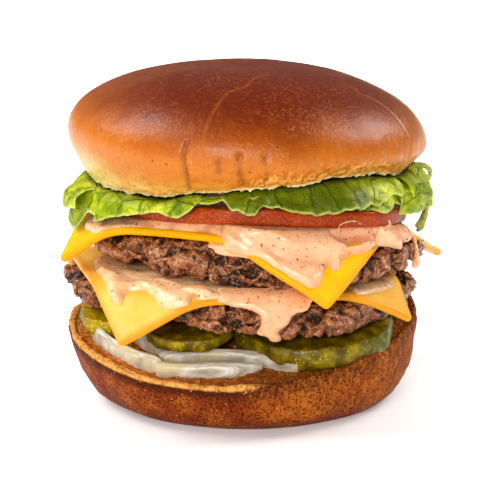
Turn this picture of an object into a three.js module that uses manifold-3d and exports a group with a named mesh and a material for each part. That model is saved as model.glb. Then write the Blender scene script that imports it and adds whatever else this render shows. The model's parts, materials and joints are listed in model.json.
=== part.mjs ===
// Double cheeseburger, built layer by layer from the table up. Millimetres, +Z up.
// The origin is the middle of the heel's underside. The fillings lean out towards -Y, the burger's front,
// and azimuths run anticlockwise from +X, so that 270 degrees is the front.
import * as THREE from "three";
import { mergeVertices } from "three/addons/utils/BufferGeometryUtils.js";
import Module from "manifold-3d";

const wasm = await Module();
wasm.setup();

// ---- Driving sizes ------------------------------------------------------------------------------
const BUN_RADIUS = 55.7; // the crown at its widest
const HEEL_RADIUS = 55.2;
const HEEL_BACK = 26.5; // height of the heel's rim at the back
const HEEL_FRONT_SAG = 10.4; // how much lower the front rim is pressed
const PATTY_RADIUS = 53.5;
const LOWER_CHEESE_SIDE = 94;
const UPPER_CHEESE_SIDE = 95.5;
const CHEESE_THICKNESS = 2.5;
const TOMATO_THICKNESS = 4.7;
const LEAF_THICKNESS = 0.8;
const GAP = 0.3; // clear space between two neighbours

// Heights of the layers in the middle of the burger's front
const LOWER_PATTY_BASE = 28;
const LOWER_CHEESE_Z = 42.3;
const LOWER_PATTY_TOP = LOWER_CHEESE_Z - CHEESE_THICKNESS / 2 - GAP - 0.15;
const UPPER_PATTY_BASE = 45;
const UPPER_CHEESE_Z = 59.3;
const UPPER_PATTY_TOP = UPPER_CHEESE_Z - CHEESE_THICKNESS / 2 - GAP - 0.15;
const TOMATO_BASE = 63.1;
const CROWN_CUT = 72.8;
const CROWN_WIDEST = 82.4;
const CROWN_TOP = 104.3;

// ---- Small helpers ------------------------------------------------------------------------------
const V = (x, y, z) => new THREE.Vector3(x, y, z);
const UP = V(0, 0, 1);
const rad = THREE.MathUtils.degToRad;
const { clamp, lerp, smoothstep } = THREE.MathUtils;
const polar = (radius, angle, z = 0) => V(radius * Math.cos(angle), radius * Math.sin(angle), z);
const steps = (count, make) => Array.from({ length: count }, (_, i) => make(i, i / count));
const ring = (count, at) => steps(count, (_, share) => at(2 * Math.PI * share));

// A repeatable number from 0 to 1 for a place on a whole-number grid.
function scatter(i, j, k) {
  const s = Math.sin(i * 127.1 + j * 311.7 + k * 74.7) * 43758.5453;
  return s - Math.floor(s);
}

// Rounded lumps packed side by side: 1 in the middle of a lump, falling to 0 between lumps.
function lumps(p, size) {
  const [i, j, k] = [p.x / size, p.y / size, p.z / size].map(Math.floor);
  let nearest = 9;
  for (const a of [i - 1, i, i + 1])
    for (const b of [j - 1, j, j + 1])
      for (const c of [k - 1, k, k + 1]) {
        const dx = a + scatter(a, b, c) - p.x / size;
        const dy = b + scatter(b, c, a + 17) - p.y / size;
        const dz = c + scatter(c, a, b + 41) - p.z / size;
        nearest = Math.min(nearest, dx * dx + dy * dy + dz * dz);
      }
  return clamp(1 - nearest / 0.8, 0, 1);
}

// A gentle unevenness round an angle, between about -1 and 1.
function waver(angle, phase, counts = [2, 3, 5]) {
  return counts.reduce((sum, n, i) => sum + Math.sin(n * angle + phase * (i + 1.7)) / counts.length, 0);
}

// A value that changes smoothly with the azimuth, through [azimuth in degrees, value] pairs in rising order.
function around(pairs) {
  return (angle) => {
    const azimuth = ((THREE.MathUtils.radToDeg(angle) % 360) + 360) % 360;
    const next = pairs.findIndex(([start]) => start > azimuth);
    const [a, b] = [pairs.at(next < 0 ? -1 : next - 1), pairs[Math.max(next, 0)]];
    const span = (b[0] - a[0] + 360) % 360;
    const share = ((azimuth - a[0] + 360) % 360) / span;
    return lerp(a[1], b[1], (1 - Math.cos(Math.PI * share)) / 2);
  };
}

// The sum of bumps round an edge, each [azimuth in degrees, height, width in degrees].
function bumps(angle, list) {
  const azimuth = THREE.MathUtils.radToDeg(angle);
  return list.reduce((sum, [middle, height, width]) => {
    const away = Math.abs(((azimuth - middle + 900) % 360) - 180);
    return sum + height * Math.exp(-((away / width) ** 2));
  }, 0);
}

// How far a sheet that folds over an edge has come out and down, a length past the start of the fold.
function fold(length, radius, angle) {
  if (length <= 0) return { out: length, down: 0, turn: 0 };
  const turn = Math.min(length / radius, angle);
  const straight = length - turn * radius;
  return {
    out: radius * Math.sin(turn) + straight * Math.cos(turn),
    down: radius * (1 - Math.cos(turn)) + straight * Math.sin(turn),
    turn,
  };
}

// ---- Meshes and solids --------------------------------------------------------------------------
// A manifold-3d solid over points and the triangles between them, turned right side out.
function solidOf(points, index) {
  const g = new THREE.BufferGeometry();
  g.setAttribute("position", new THREE.Float32BufferAttribute(points.flatMap((p) => [p.x, p.y, p.z]), 3));
  g.setIndex(index);
  const merged = mergeVertices(g, 1e-4);
  const vertProperties = new Float32Array(merged.attributes.position.array);
  const triVerts = new Uint32Array(merged.index.array);
  const made = new wasm.Manifold(new wasm.Mesh({ numProp: 3, vertProperties, triVerts }));
  if (made.volume() > 0) return made;
  for (let i = 0; i < triVerts.length; i += 3)
    [triVerts[i + 1], triVerts[i + 2]] = [triVerts[i + 2], triVerts[i + 1]];
  return new wasm.Manifold(new wasm.Mesh({ numProp: 3, vertProperties, triVerts }));
}

// The triangles between rings of as many points each, of which the first or the last may be single points.
function bands(rings) {
  const index = [];
  let start = 0;
  for (let r = 0; r + 1 < rings.length; r++) {
    const [low, high] = [rings[r].length, rings[r + 1].length];
    const next = start + low;
    for (let i = 0; i < Math.max(low, high); i++) {
      const [a, b] = [start + (i % low), start + ((i + 1) % low)];
      const [c, d] = [next + (i % high), next + ((i + 1) % high)];
      if (low > 1) index.push(a, b, d);
      if (high > 1) index.push(a, d, c);
    }
    start = next;
  }
  return index;
}

// A closed skin over rings from one end point to the other.
const skin = (rings) => solidOf(rings.flat(), bands(rings));

// A closed thin disc. rings(side) lists its rings from a middle point out to the rim, with side 1 on one
// face and -1 on the other, and both faces are split into the same triangles.
function disc(rings) {
  const [front, back] = [rings(1), rings(-1)];
  const n = front.flat().length;
  const index = bands(front);
  for (const [a, b, c] of steps(index.length / 3, (i) => index.slice(3 * i, 3 * i + 3)))
    index.push(n + a, n + c, n + b);
  const sides = front.at(-1).length;
  for (let i = 0; i < sides; i++) {
    const [a, b] = [n - sides + i, n - sides + ((i + 1) % sides)];
    index.push(a, b, n + b, a, n + b, n + a);
  }
  return solidOf([...front.flat(), ...back.flat()], index);
}

// A closed sheet. at(u, v, side) is a point for u and v from 0 to 1, with side 1 on one face and -1 on
// the other, and both faces are split into the same triangles.
function sheet(nu, nv, at) {
  const points = [];
  for (const side of [1, -1])
    for (let i = 0; i <= nu; i++) for (let j = 0; j <= nv; j++) points.push(at(i / nu, j / nv, side));
  const n = (nu + 1) * (nv + 1);
  const id = (i, j) => i * (nv + 1) + j;
  const index = [];
  for (let i = 0; i < nu; i++)
    for (let j = 0; j < nv; j++) {
      const [a, b, c, d] = [id(i, j), id(i + 1, j), id(i + 1, j + 1), id(i, j + 1)];
      index.push(a, b, c, a, c, d, n + a, n + c, n + b, n + a, n + d, n + c);
    }
  const rim = [
    ...steps(nu, (i) => id(i, 0)),
    ...steps(nv, (j) => id(nu, j)),
    ...steps(nu, (i) => id(nu - i, nv)),
    ...steps(nv, (j) => id(0, nv - j)),
  ];
  rim.forEach((a, i) => {
    const b = rim[(i + 1) % rim.length];
    index.push(a, n + a, n + b, a, n + b, b);
  });
  return solidOf(points, index);
}

// A round run of sauce or stalk along points, with its radius at each.
function run(points, radii, sides = 7, count = 9) {
  const curve = new THREE.CatmullRomCurve3(points);
  const frames = curve.computeFrenetFrames(count);
  const rings = steps(count + 1, (i) => {
    const place = (i / count) * (radii.length - 1);
    const k = Math.min(Math.floor(place), radii.length - 2);
    const radius = lerp(radii[k], radii[k + 1], place - k);
    return ring(sides, (angle) =>
      curve
        .getPoint(i / count)
        .addScaledVector(frames.normals[i], radius * Math.cos(angle))
        .addScaledVector(frames.binormals[i], radius * Math.sin(angle)),
    );
  });
  const first = curve.getPoint(0).addScaledVector(frames.tangents[0], -0.7 * radii[0]);
  const last = curve.getPoint(1).addScaledVector(frames.tangents[count], 0.7 * radii.at(-1));
  return skin([[first], ...rings, [last]]);
}

// What is left of a solid once its neighbours are cut away: its largest body, with no loose scraps.
function trimmed(solid, ...neighbours) {
  const cut = neighbours.reduce((left, other) => left.subtract(other), solid);
  return cut.decompose().reduce((a, b) => (a.volume() > b.volume() ? a : b));
}

// ---- Heel: the bottom half of the bun -----------------------------------------------------------
const HEEL_X = -2.5;
const BASE_SHIFT = 1.5; // how much further right the heel's underside lies than its rim
const HEEL_SIDES = 48;
const RIM_WIDTH = 2.4; // the crust that stands proud of the cut face
const DISH = 1.3; // how far the cut face lies below that crust
const HEEL_SIDE = [
  // [share of the radius, share of the height], from the table up
  [0.815, 0],
  [0.9, 0.17],
  [0.952, 0.42],
  [0.98, 0.68],
  [1, 0.92],
  [0.99, 1],
];

function heelRadius(angle) {
  return HEEL_RADIUS * (1 + 0.008 * waver(angle, 1) + 0.005 * waver(angle, 3, [7, 9, 13]));
}

// Height of the heel's rim: level at the back, pressed down towards the front, a little higher on the right.
function heelRim(x, y) {
  const forward = clamp((5 - y) / (HEEL_RADIUS + 5), 0, 1.2);
  return HEEL_BACK + 0.035 * x - HEEL_FRONT_SAG * forward ** 1.3;
}
const heelFloor = (x, y) => heelRim(x, y) - DISH;

function makeHeel() {
  const at = (radius, angle, height) => {
    const p = polar(radius, angle).add(V(HEEL_X, 0, 0));
    return p.setZ(height(p.x, p.y));
  };
  const circle = (radius, height) =>
    ring(HEEL_SIDES, (angle) => at(radius(heelRadius(angle)), angle, height));
  const wall = HEEL_SIDE.map(([out, up]) =>
    ring(HEEL_SIDES, (angle) => {
      const notched = 0.5 * waver(angle, 4, [7, 11, 16]);
      const p = at(out * heelRadius(angle), angle, (x, y) => up * (heelRim(x, y) + notched));
      return p.add(V((1 - up) * BASE_SHIFT, 0, 0));
    }),
  );
  return skin([
    [V(HEEL_X, 0, 0)],
    circle((radius) => 0.5 * radius, () => 0),
    ...wall,
    circle((radius) => radius - RIM_WIDTH, heelFloor),
    circle((radius) => radius - 18, heelFloor),
    circle((radius) => radius - 36, heelFloor),
    [V(HEEL_X, 0, heelFloor(HEEL_X, 0))],
  ]);
}

// ---- Onion: strips cut from rings, lying on the heel --------------------------------------------
// Each follows an arc about (x, y), between two azimuths.
const ONION_STRIPS = [
  { name: "onion_strip_left", x: HEEL_X, y: 0, radius: 46.6, from: 196, to: 236, width: 6, thickness: 2.8 },
  { name: "onion_strip_front", x: -10, y: 30, radius: 74, from: 257, to: 279.5, width: 5.6, thickness: 3.2 },
  { name: "onion_strip_long", x: -17, y: -101, radius: 64.5, from: 98, to: 61, width: 5, thickness: 3 },
  { name: "onion_strip_inner", x: 0, y: 0, radius: 35.5, from: 207, to: 239, width: 6, thickness: 2.2 },
];

function makeOnion(strip, grow = 0) {
  const place = (share, across) => {
    const azimuth = rad(lerp(strip.from, strip.to, share));
    const p = polar(strip.radius + across, azimuth).add(V(strip.x, strip.y, 0));
    return p.setZ(heelFloor(p.x, p.y) + GAP + strip.thickness / 2);
  };
  const count = 9;
  const cross = (share) =>
    ring(6, (angle) => {
      const lifted = 0.35 * Math.abs(Math.cos(angle)); // the edges of the cupped strip stand up a little
      const rise = (strip.thickness / 2 + grow) * (0.8 * Math.sin(angle) + lifted);
      return place(share, (strip.width / 2 + grow) * Math.cos(angle)).add(V(0, 0, rise));
    });
  return skin([[place(0, 0)], ...steps(count + 1, (i) => cross(i / count)), [place(1, 0)]]);
}

// ---- Pickle: thick oval slices, pressed down onto the heel and the onion ---------------------------
const PICKLES = [
  { name: "pickle_left", x: -38.5, y: -8.5, lift: 0, long: 15.6, deep: 17.5, thickness: 5.4, phase: 1 },
  { name: "pickle_middle", x: -18, y: -25.5, lift: 3.2, long: 14.5, deep: 16, thickness: 4.2, phase: 4 },
  { name: "pickle_right", x: 19, y: -22.5, lift: 0.3, long: 24.5, deep: 22, thickness: 6, phase: 2 },
];

function makePickle(slice, grow = 0) {
  const half = slice.thickness / 2 + grow;
  const at = (inset, z) =>
    ring(24, (angle) => {
      const scallop = 1 + 0.022 * waver(angle, slice.phase, [5, 8, 11]);
      const long = scallop * (slice.long + grow - inset);
      const deep = scallop * (slice.deep + grow - inset);
      return V(long * Math.cos(angle), deep * Math.sin(angle), z);
    });
  const rings = [at(8, -half), at(0.8, -half), at(0, 1 - half), at(0, half - 1), at(0.8, half), at(8, half)];
  // It lies on the slope of the heel below its middle.
  const slope = (dx, dy) =>
    (heelFloor(slice.x + dx, slice.y + dy) - heelFloor(slice.x - dx, slice.y - dy)) / 2;
  const normal = V(-slope(1, 0), -slope(0, 1), 1).normalize();
  const middle = V(slice.x, slice.y, heelFloor(slice.x, slice.y) + GAP + slice.lift + slice.thickness / 2);
  const lie = (p) => p.applyQuaternion(new THREE.Quaternion().setFromUnitVectors(UP, normal)).add(middle);
  return skin([[V(0, 0, -half)], ...rings, [V(0, 0, half)]].map((points) => points.map(lie)));
}

// ---- Lean: the upper layers sink to the right and to the back --------------------------------------
function lean(x, y) {
  const steeperInFront = 0.03 * (Math.hypot(y, 20) - Math.hypot(50, 20));
  return 0.043 * x + 0.06 * (y + 50) - steeperInFront;
}
const leanRight = (x) => 0.04 * x;

// ---- Patties ------------------------------------------------------------------------------------
const LOWER_PATTY = {
  x: -1.5,
  y: 0,
  phase: 2,
  under: (x) => LOWER_PATTY_BASE + 0.07 * Math.max(0, 24 - x),
  over: (x) => LOWER_PATTY_TOP - leanRight(x),
  // clefts between the torn lumps of the rim: azimuth, depth, width in degrees
  clefts: [[272, 5, 5], [238, 3, 5], [320, 4, 5], [345, 3, 5], [212, 3, 6], [60, 3, 6], [120, 4, 7]],
  // lumps that hang lower or stand out further than the rest: azimuth, distance, width in degrees
  hangs: [[262, 1.2, 9], [296, 1, 14], [194, 4.5, 18]],
  lobes: [[188, 2.4, 16]],
};
const UPPER_PATTY = {
  x: 2.2,
  y: 0,
  phase: 5,
  under: (x) => UPPER_PATTY_BASE - 0.05 * x,
  over: (x, y) => UPPER_PATTY_TOP - lean(x, y),
  clefts: [
    [248, 4, 4], [226, 3, 4], [282, 3, 4], [312, 3, 4], [338, 3, 5], [190, 3, 6], [40, 3, 6], [140, 4, 7],
  ],
  hangs: [[232, 1, 20], [262, 2, 14], [284, 3.6, 16], [312, 1.2, 14]],
  lobes: [],
};
const PATTY_EDGE = 7; // how far in the rounding of the rim starts
const PATTY_SIDES = 48;

function makePatty(patty, grow = 0) {
  // up runs from -1 at the underside to 1 on top, out from 0 in the middle to 1 at the rim.
  const at = (radius, angle, up, out) => {
    const p = polar(radius, angle).add(V(patty.x, patty.y, 0));
    const [low, high] = [patty.under(p.x, p.y), patty.over(p.x, p.y)];
    const hang = up < 0 ? -up * out * bumps(angle, patty.hangs) : 0;
    const spread = (high - low) / 2 + grow;
    p.setZ((low + high) / 2 + up * spread - hang);
    const rough = 4 * lumps(p, 10.5) - 2 - bumps(angle, patty.clefts) + bumps(angle, patty.lobes);
    const rim = Math.sqrt(Math.max(0, 1 - up * up));
    return p.addScaledVector(polar(1, angle), rim * rough + out * grow);
  };
  const rim = steps(7, (i) => {
    const tilt = rad(-90 + 30 * i);
    return ring(PATTY_SIDES, (angle) => {
      const radius = PATTY_RADIUS + waver(angle, patty.phase) - PATTY_EDGE * (1 - Math.cos(tilt));
      return at(radius, angle, Math.sin(tilt), 1);
    });
  });
  const face = (radius, up) => ring(PATTY_SIDES, (angle) => at(radius, angle, up, 0));
  return skin([[at(0, 0, -1, 0)], face(34, -1), ...rim, face(34, 1), [at(0, 0, 1, 0)]]);
}

// ---- Cheese: square slices whose corners fold down over the patty ----------------------------------
// A corner has its azimuth on the slice, how far from the middle its fold starts, and the fold's angle.
const LOWER_CHEESE = {
  side: LOWER_CHEESE_SIDE,
  x: -7.2,
  y: -4.2,
  turn: 15.5,
  height: (x) => LOWER_CHEESE_Z - leanRight(x),
  corners: [
    { azimuth: 225, start: 43, angle: 46 },
    { azimuth: 315, start: 48, angle: 35 },
    { azimuth: 45, start: 45, angle: 46 },
    { azimuth: 135, start: 41, angle: 66 },
  ],
};
const UPPER_CHEESE = {
  side: UPPER_CHEESE_SIDE,
  x: 1.7,
  y: -3,
  turn: -25.4,
  height: (x, y) => UPPER_CHEESE_Z - lean(x, y),
  corners: [
    { azimuth: 225, start: 46, angle: 46.5 },
    { azimuth: 315, start: 38.6, angle: 45.5 },
    { azimuth: 45, start: 37.3, angle: 24 },
    { azimuth: 135, start: 45, angle: 44 },
  ],
};
const CHEESE_BEND = 12; // radius of the folds
const CHEESE_SAG = 0.006; // how fast a side sags past the flat of the patty
const FLAT_OF_PATTY = 38;

// A point of a draped slice: a and b are its flat place from the middle, offset is along the slice's normal.
function cheesePoint(slice, a, b, offset) {
  const place = V(a, b, 0);
  const normal = UP.clone();
  for (const corner of slice.corners) {
    const way = polar(1, rad(corner.azimuth));
    const past = a * way.x + b * way.y - corner.start;
    if (past <= 0) continue;
    const bent = fold(past, CHEESE_BEND, rad(corner.angle));
    place.addScaledVector(way, bent.out - past).setZ(-bent.down);
    normal.copy(way).multiplyScalar(Math.sin(bent.turn)).setZ(Math.cos(bent.turn));
  }
  place.addScaledVector(normal, offset).applyAxisAngle(UP, rad(slice.turn)).add(V(slice.x, slice.y, 0));
  const past = clamp(Math.hypot(place.x, place.y) - FLAT_OF_PATTY, 0, 14);
  return place.add(V(0, 0, slice.height(place.x, place.y) - CHEESE_SAG * past ** 2));
}

function makeCheese(slice, grow = 0) {
  const half = slice.side / 2 + grow;
  return sheet(13, 13, (u, v, side) =>
    cheesePoint(slice, lerp(-half, half, u), lerp(-half, half, v), side * (CHEESE_THICKNESS / 2 + grow)),
  );
}

// ---- Sauce: puddles on the cheese, and a drip that runs down the lower patty -------------------------
const SAUCE_LIFT = 0.7; // clear of the cheese, also between the corners of both meshes
const SAUCE_SIDES = 40;
// reach is how far the puddle's outline lies from the middle of the slice, by azimuth on the slice.
const LOWER_SAUCE = {
  cheese: LOWER_CHEESE,
  thickness: 0.7,
  reach: around([
    [0, 14], [45, 20], [90, 28], [135, 34], [180, 42], [200, 46], [215, 53.5], [225, 46], [238, 53],
    [250, 49], [281, 47], [300, 24],
  ]),
};
const UPPER_SAUCE = {
  cheese: UPPER_CHEESE,
  thickness: 0.7,
  reach: around([
    [0, 43], [20, 45], [45, 38], [90, 34], [135, 30], [180, 30], [212, 40], [238, 48], [275, 47], [292, 51],
    [308, 60], [319, 53], [345, 47],
  ]),
};

function makePuddle(puddle, grow = 0) {
  const middle = (CHEESE_THICKNESS + puddle.thickness) / 2 + SAUCE_LIFT;
  const half = puddle.thickness / 2 + grow;
  const at = (share, offset) => (angle) => {
    const flat = polar(share * puddle.reach(angle) + (share === 1 ? grow : 0), angle);
    return cheesePoint(puddle.cheese, flat.x, flat.y, middle + offset);
  };
  return disc((side) => [
    [at(0, side * half)(0)],
    ...[0.62, 0.75, 0.88].map((share) => ring(SAUCE_SIDES, at(share, side * half))),
    ring(SAUCE_SIDES, at(1, (side * half) / 2)),
  ]);
}

const DRIP_PATH = [V(6, -54, 42), V(6.6, -55.5, 39), V(6.2, -56, 36), V(5.4, -55.5, 33), V(5.6, -54.5, 30.5)];
const DRIP_RADII = [4.2, 4.4, 3.4, 2.8, 2.4];

// ---- Tomato: one wide slice that droops at both ends -------------------------------------------------
const TOMATO = { x: 4.2, y: -15, wide: 43.6, deep: 36.5, droop: 0.0011, lean: 0.05 };

function makeTomato(grow = 0) {
  const at = (inset, up) => (angle) => {
    const wobble = 1 + 0.012 * waver(angle, 2, [3, 5, 7]);
    const x = TOMATO.x + (wobble * (TOMATO.wide - inset) + grow) * Math.cos(angle);
    const y = TOMATO.y + (wobble * (TOMATO.deep - inset) + grow) * Math.sin(angle);
    const base = TOMATO_BASE - TOMATO.droop * (x + 8) ** 2 - TOMATO.lean * (y + 50);
    return V(x, y, base - grow + up * (TOMATO_THICKNESS + 2 * grow));
  };
  const layer = (up) => [20, 1].map((inset) => ring(34, at(inset, up)));
  const side = [0.22, 0.78].map((up) => ring(34, at(0, up)));
  const [bottom, top] = [0, 1].map((up) => [at(TOMATO.wide, up)(0)]);
  return skin([bottom, ...layer(0), ...side, ...layer(1).reverse(), top]);
}

// ---- Crown: the top half of the bun -------------------------------------------------------------------
const CROWN_X = -0.8;
const CROWN_SIDES = 48;
const CROWN_CUT_RADIUS = 50;
const CROWN_ROLL = 0.0425; // how much lower the right shoulder is, for each millimetre to the right
const TOP_ROLL = 0.015;
const cutEdge = around([
  [0, 73.4], [30, 72.6], [90, 72], [160, 72], [192, 70.6], [215, 69.4], [238, 69.5], [255, 71.7], [270, 73],
  [286, 73.8], [300, 75.3], [314, 75.1], [336, 72.6],
]);

// Height of the crown's cut face, which sags towards the front left.
function crownCut(radius, angle) {
  return lerp(CROWN_CUT, cutEdge(angle), Math.min(radius / CROWN_CUT_RADIUS, 1) ** 2);
}

function makeCrown() {
  const at = (radius, angle, z) =>
    polar(radius * (1 + 0.006 * waver(angle, 2)), angle, z).add(V(CROWN_X, 0, 0));
  const widest = (angle) => CROWN_WIDEST - CROWN_ROLL * BUN_RADIUS * Math.cos(angle);
  const cut = [22, 42].map((radius) =>
    ring(CROWN_SIDES, (angle) => at(radius, angle, crownCut(radius, angle))),
  );
  const lip = steps(5, (i, up) => {
    const radius = lerp(CROWN_CUT_RADIUS, BUN_RADIUS, Math.sin(rad(90 * up ** 1.2)));
    return ring(CROWN_SIDES, (angle) => at(radius, angle, lerp(cutEdge(angle), widest(angle), up)));
  });
  const dome = steps(7, (i, share) => {
    const slope = rad(90 * share);
    const radius = BUN_RADIUS * Math.cos(slope) ** 0.92;
    const top = (angle) => CROWN_TOP - TOP_ROLL * radius * Math.cos(angle);
    return ring(CROWN_SIDES, (angle) => at(radius, angle, lerp(widest(angle), top(angle), Math.sin(slope))));
  });
  return skin([[V(CROWN_X, 0, CROWN_CUT)], ...cut, ...lip, ...dome, [V(CROWN_X, 0, CROWN_TOP)]]);
}

// ---- Lettuce: wavy leaves that lie under the crown and hang over the tomato ---------------------------
// All leaves are patches of one draped shape, each at its own depth below the crown, so they never cross.
const DRAPE_EDGE = around([
  [0, 50], [60, 46], [120, 46], [180, 49.8], [240, 50], [256, 48.5], [275, 46], [318, 46.5], [336, 49.5],
]);
const DRAPE_ANGLE = around([
  [0, 70], [60, 52], [120, 52], [180, 62], [200, 72], [225, 70], [245, 72], [272, 48], [318, 48], [338, 68],
]);
const DRAPE_BEND = 5;
const FRILL = 1.1; // height of the waves in a leaf's edge
const LEAF_STEP = 5.5; // degrees between a leaf's points
const LEAVES = [
  {
    name: "lettuce_left", from: 179, to: 254, inner: 30, depth: 0.8,
    hang: around([
      [179, 9], [187, 13], [199, 17], [208, 10.5], [216, 11], [229, 8], [240, 6.5], [250, 8], [254, 5],
    ]),
  },
  {
    name: "lettuce_front", from: 261, to: 330, inner: 30, depth: 0.8,
    hang: around([[261, 5], [268, 10], [275, 9], [283, 11], [294, 13], [303, 13.5], [312, 11.5], [330, 8]]),
  },
  {
    name: "lettuce_under", from: 300, to: 344, inner: 34, depth: 2.3,
    hang: around([[300, 9], [308, 12], [316, 14], [324, 10], [338, 12], [344, 8]]),
  },
  {
    name: "lettuce_right", from: 333, to: 364, inner: 34, depth: 0.8,
    hang: around([[4, 8], [333, 9], [340, 13], [349, 15], [357, 13]]),
  },
  {
    name: "lettuce_back", from: 12, to: 168, inner: 32, depth: 0.8,
    hang: around([[12, 7], [30, 12], [52, 9], [75, 13], [100, 10], [124, 13], [145, 9], [168, 5]]),
  },
];

function leafPoint(leaf, u, v, offset) {
  const angle = rad(lerp(leaf.from, leaf.to, u));
  const edge = DRAPE_EDGE(angle);
  const past = lerp(leaf.inner - edge, leaf.hang(angle), v);
  const bent = fold(past, DRAPE_BEND, rad(DRAPE_ANGLE(angle)));
  const wave = FRILL * smoothstep(past, 1, 9) * waver(angle, 1.3, [13, 21, 34]);
  const lift = wave + offset - leaf.depth;
  const radius = edge + bent.out + lift * Math.sin(bent.turn);
  return polar(radius, angle, crownCut(edge + bent.out, angle) - bent.down + lift * Math.cos(bent.turn));
}

function makeLeaf(leaf) {
  const along = Math.round((leaf.to - leaf.from) / LEAF_STEP);
  return sheet(along, 6, (u, v, side) => leafPoint(leaf, u, v, (side * LEAF_THICKNESS) / 2));
}

// The right leaf ends in a curl that stands up beside the crown, and a torn strip hangs from it.
const CURL_PATH = [
  V(50, -10, 68),
  V(53.8, -10, 68.9),
  V(55.6, -10, 71.8),
  V(53.6, -10, 74.6),
  V(50.6, -10, 74.3),
  V(49.6, -9, 72.4),
];
const CURL_RADII = [1, 1, 1, 1, 1, 0.9];
const STRIP_PATH = [V(54.2, -10, 63.5), V(53.6, -10, 58), V(52.4, -10, 54)];
const STRIP_RADII = [1.2, 1.1, 1.3];

// ---- The burger, put together ---------------------------------------------------------------------------
const COLOURS = {
  heel: 0x8a4420,
  crown: 0xb8662e,
  onion: 0xd8ceb6,
  pickle: 0x7d6a10,
  patty: 0x6b4028,
  lowerCheese: 0xffd05c,
  upperCheese: 0xfcbb10,
  sauce: 0xfbc898,
  tomato: 0xa83c18,
  lettuce: 0x9fb02c,
};

const burger = new THREE.Group();

function add(name, solid, color, roughness) {
  const mesh = solid.getMesh();
  const points = new Float32Array(mesh.numVert * 3);
  for (let i = 0; i < mesh.numVert; i++)
    points.set(mesh.vertProperties.subarray(i * mesh.numProp, i * mesh.numProp + 3), i * 3);
  const geometry = new THREE.BufferGeometry();
  geometry.setAttribute("position", new THREE.BufferAttribute(points, 3));
  geometry.setIndex(new THREE.BufferAttribute(mesh.triVerts, 1));
  geometry.computeVertexNormals();
  const made = new THREE.Mesh(geometry, new THREE.MeshStandardMaterial({ color, roughness, metalness: 0 }));
  made.name = name;
  burger.add(made);
}

// Soft pieces give way to the firmer ones that press on them, and keep a gap to each.
const grownPickles = PICKLES.map((slice) => makePickle(slice, GAP));
const grownLowerCheese = makeCheese(LOWER_CHEESE, GAP);
const grownUpperCheese = makeCheese(UPPER_CHEESE, GAP);
const grownLowerPatty = makePatty(LOWER_PATTY, GAP);
const grownUpperPatty = makePatty(UPPER_PATTY, GAP);
const grownLowerSauce = makePuddle(LOWER_SAUCE, GAP);
const grownLongOnion = makeOnion(ONION_STRIPS[2], GAP);
const pickles = PICKLES.map((slice, i) => trimmed(makePickle(slice), ...grownPickles.slice(i + 1)));
const onions = ONION_STRIPS.map((strip, i) =>
  trimmed(makeOnion(strip), ...grownPickles, ...(i === 1 ? [grownLongOnion] : [])),
);
const lowerPatty = trimmed(makePatty(LOWER_PATTY), grownLowerCheese, ...grownPickles);
const upperPatty = trimmed(makePatty(UPPER_PATTY), grownLowerCheese, grownUpperCheese, grownLowerSauce);
const lowerSauce = trimmed(makePuddle(LOWER_SAUCE), grownLowerCheese);
const upperSauce = trimmed(makePuddle(UPPER_SAUCE), grownUpperCheese, makeTomato(GAP));
const dripNeighbours = [grownLowerCheese, grownLowerPatty, grownUpperPatty, grownLowerSauce];
const drip = trimmed(run(DRIP_PATH, DRIP_RADII), ...dripNeighbours);
const curl = run(CURL_PATH, CURL_RADII);
const tornStrip = run(STRIP_PATH, STRIP_RADII, 6, 4);

add("heel_bun", makeHeel(), COLOURS.heel, 0.8);
ONION_STRIPS.forEach((strip, i) => add(strip.name, onions[i], COLOURS.onion, 0.35));
PICKLES.forEach((slice, i) => add(slice.name, pickles[i], COLOURS.pickle, 0.35));
add("patty_lower", lowerPatty, COLOURS.patty, 0.6);
add("cheese_lower", makeCheese(LOWER_CHEESE), COLOURS.lowerCheese, 0.4);
add("sauce_lower", lowerSauce, COLOURS.sauce, 0.35);
add("sauce_drip", drip, COLOURS.sauce, 0.35);
add("patty_upper", upperPatty, COLOURS.patty, 0.6);
add("cheese_upper", makeCheese(UPPER_CHEESE), COLOURS.upperCheese, 0.4);
add("sauce_upper", upperSauce, COLOURS.sauce, 0.35);
add("tomato_slice", makeTomato(), COLOURS.tomato, 0.35);
LEAVES.forEach((leaf) => {
  const solid = makeLeaf(leaf);
  const whole = leaf.name === "lettuce_right" ? solid.add(curl).add(tornStrip) : solid;
  add(leaf.name, whole, COLOURS.lettuce, 0.45);
});
add("crown_bun", makeCrown(), COLOURS.crown, 0.35);

export default burger;
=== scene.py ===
# %% [markdown]
# # A double cheeseburger
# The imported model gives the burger's plain solids, with true places and sizes. This lesson dresses them.
# A burger is mostly soft, torn and wet things, so nearly every solid is replaced by a finer mesh that
# follows the same rule as the solid: the same radius, slope, fold and lean, with more detail on top.

# %% The frame
import json

import bmesh
import bpy
import numpy as np
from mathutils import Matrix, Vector
from mathutils.bvhtree import BVHTree
from mathutils.kdtree import KDTree

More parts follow.
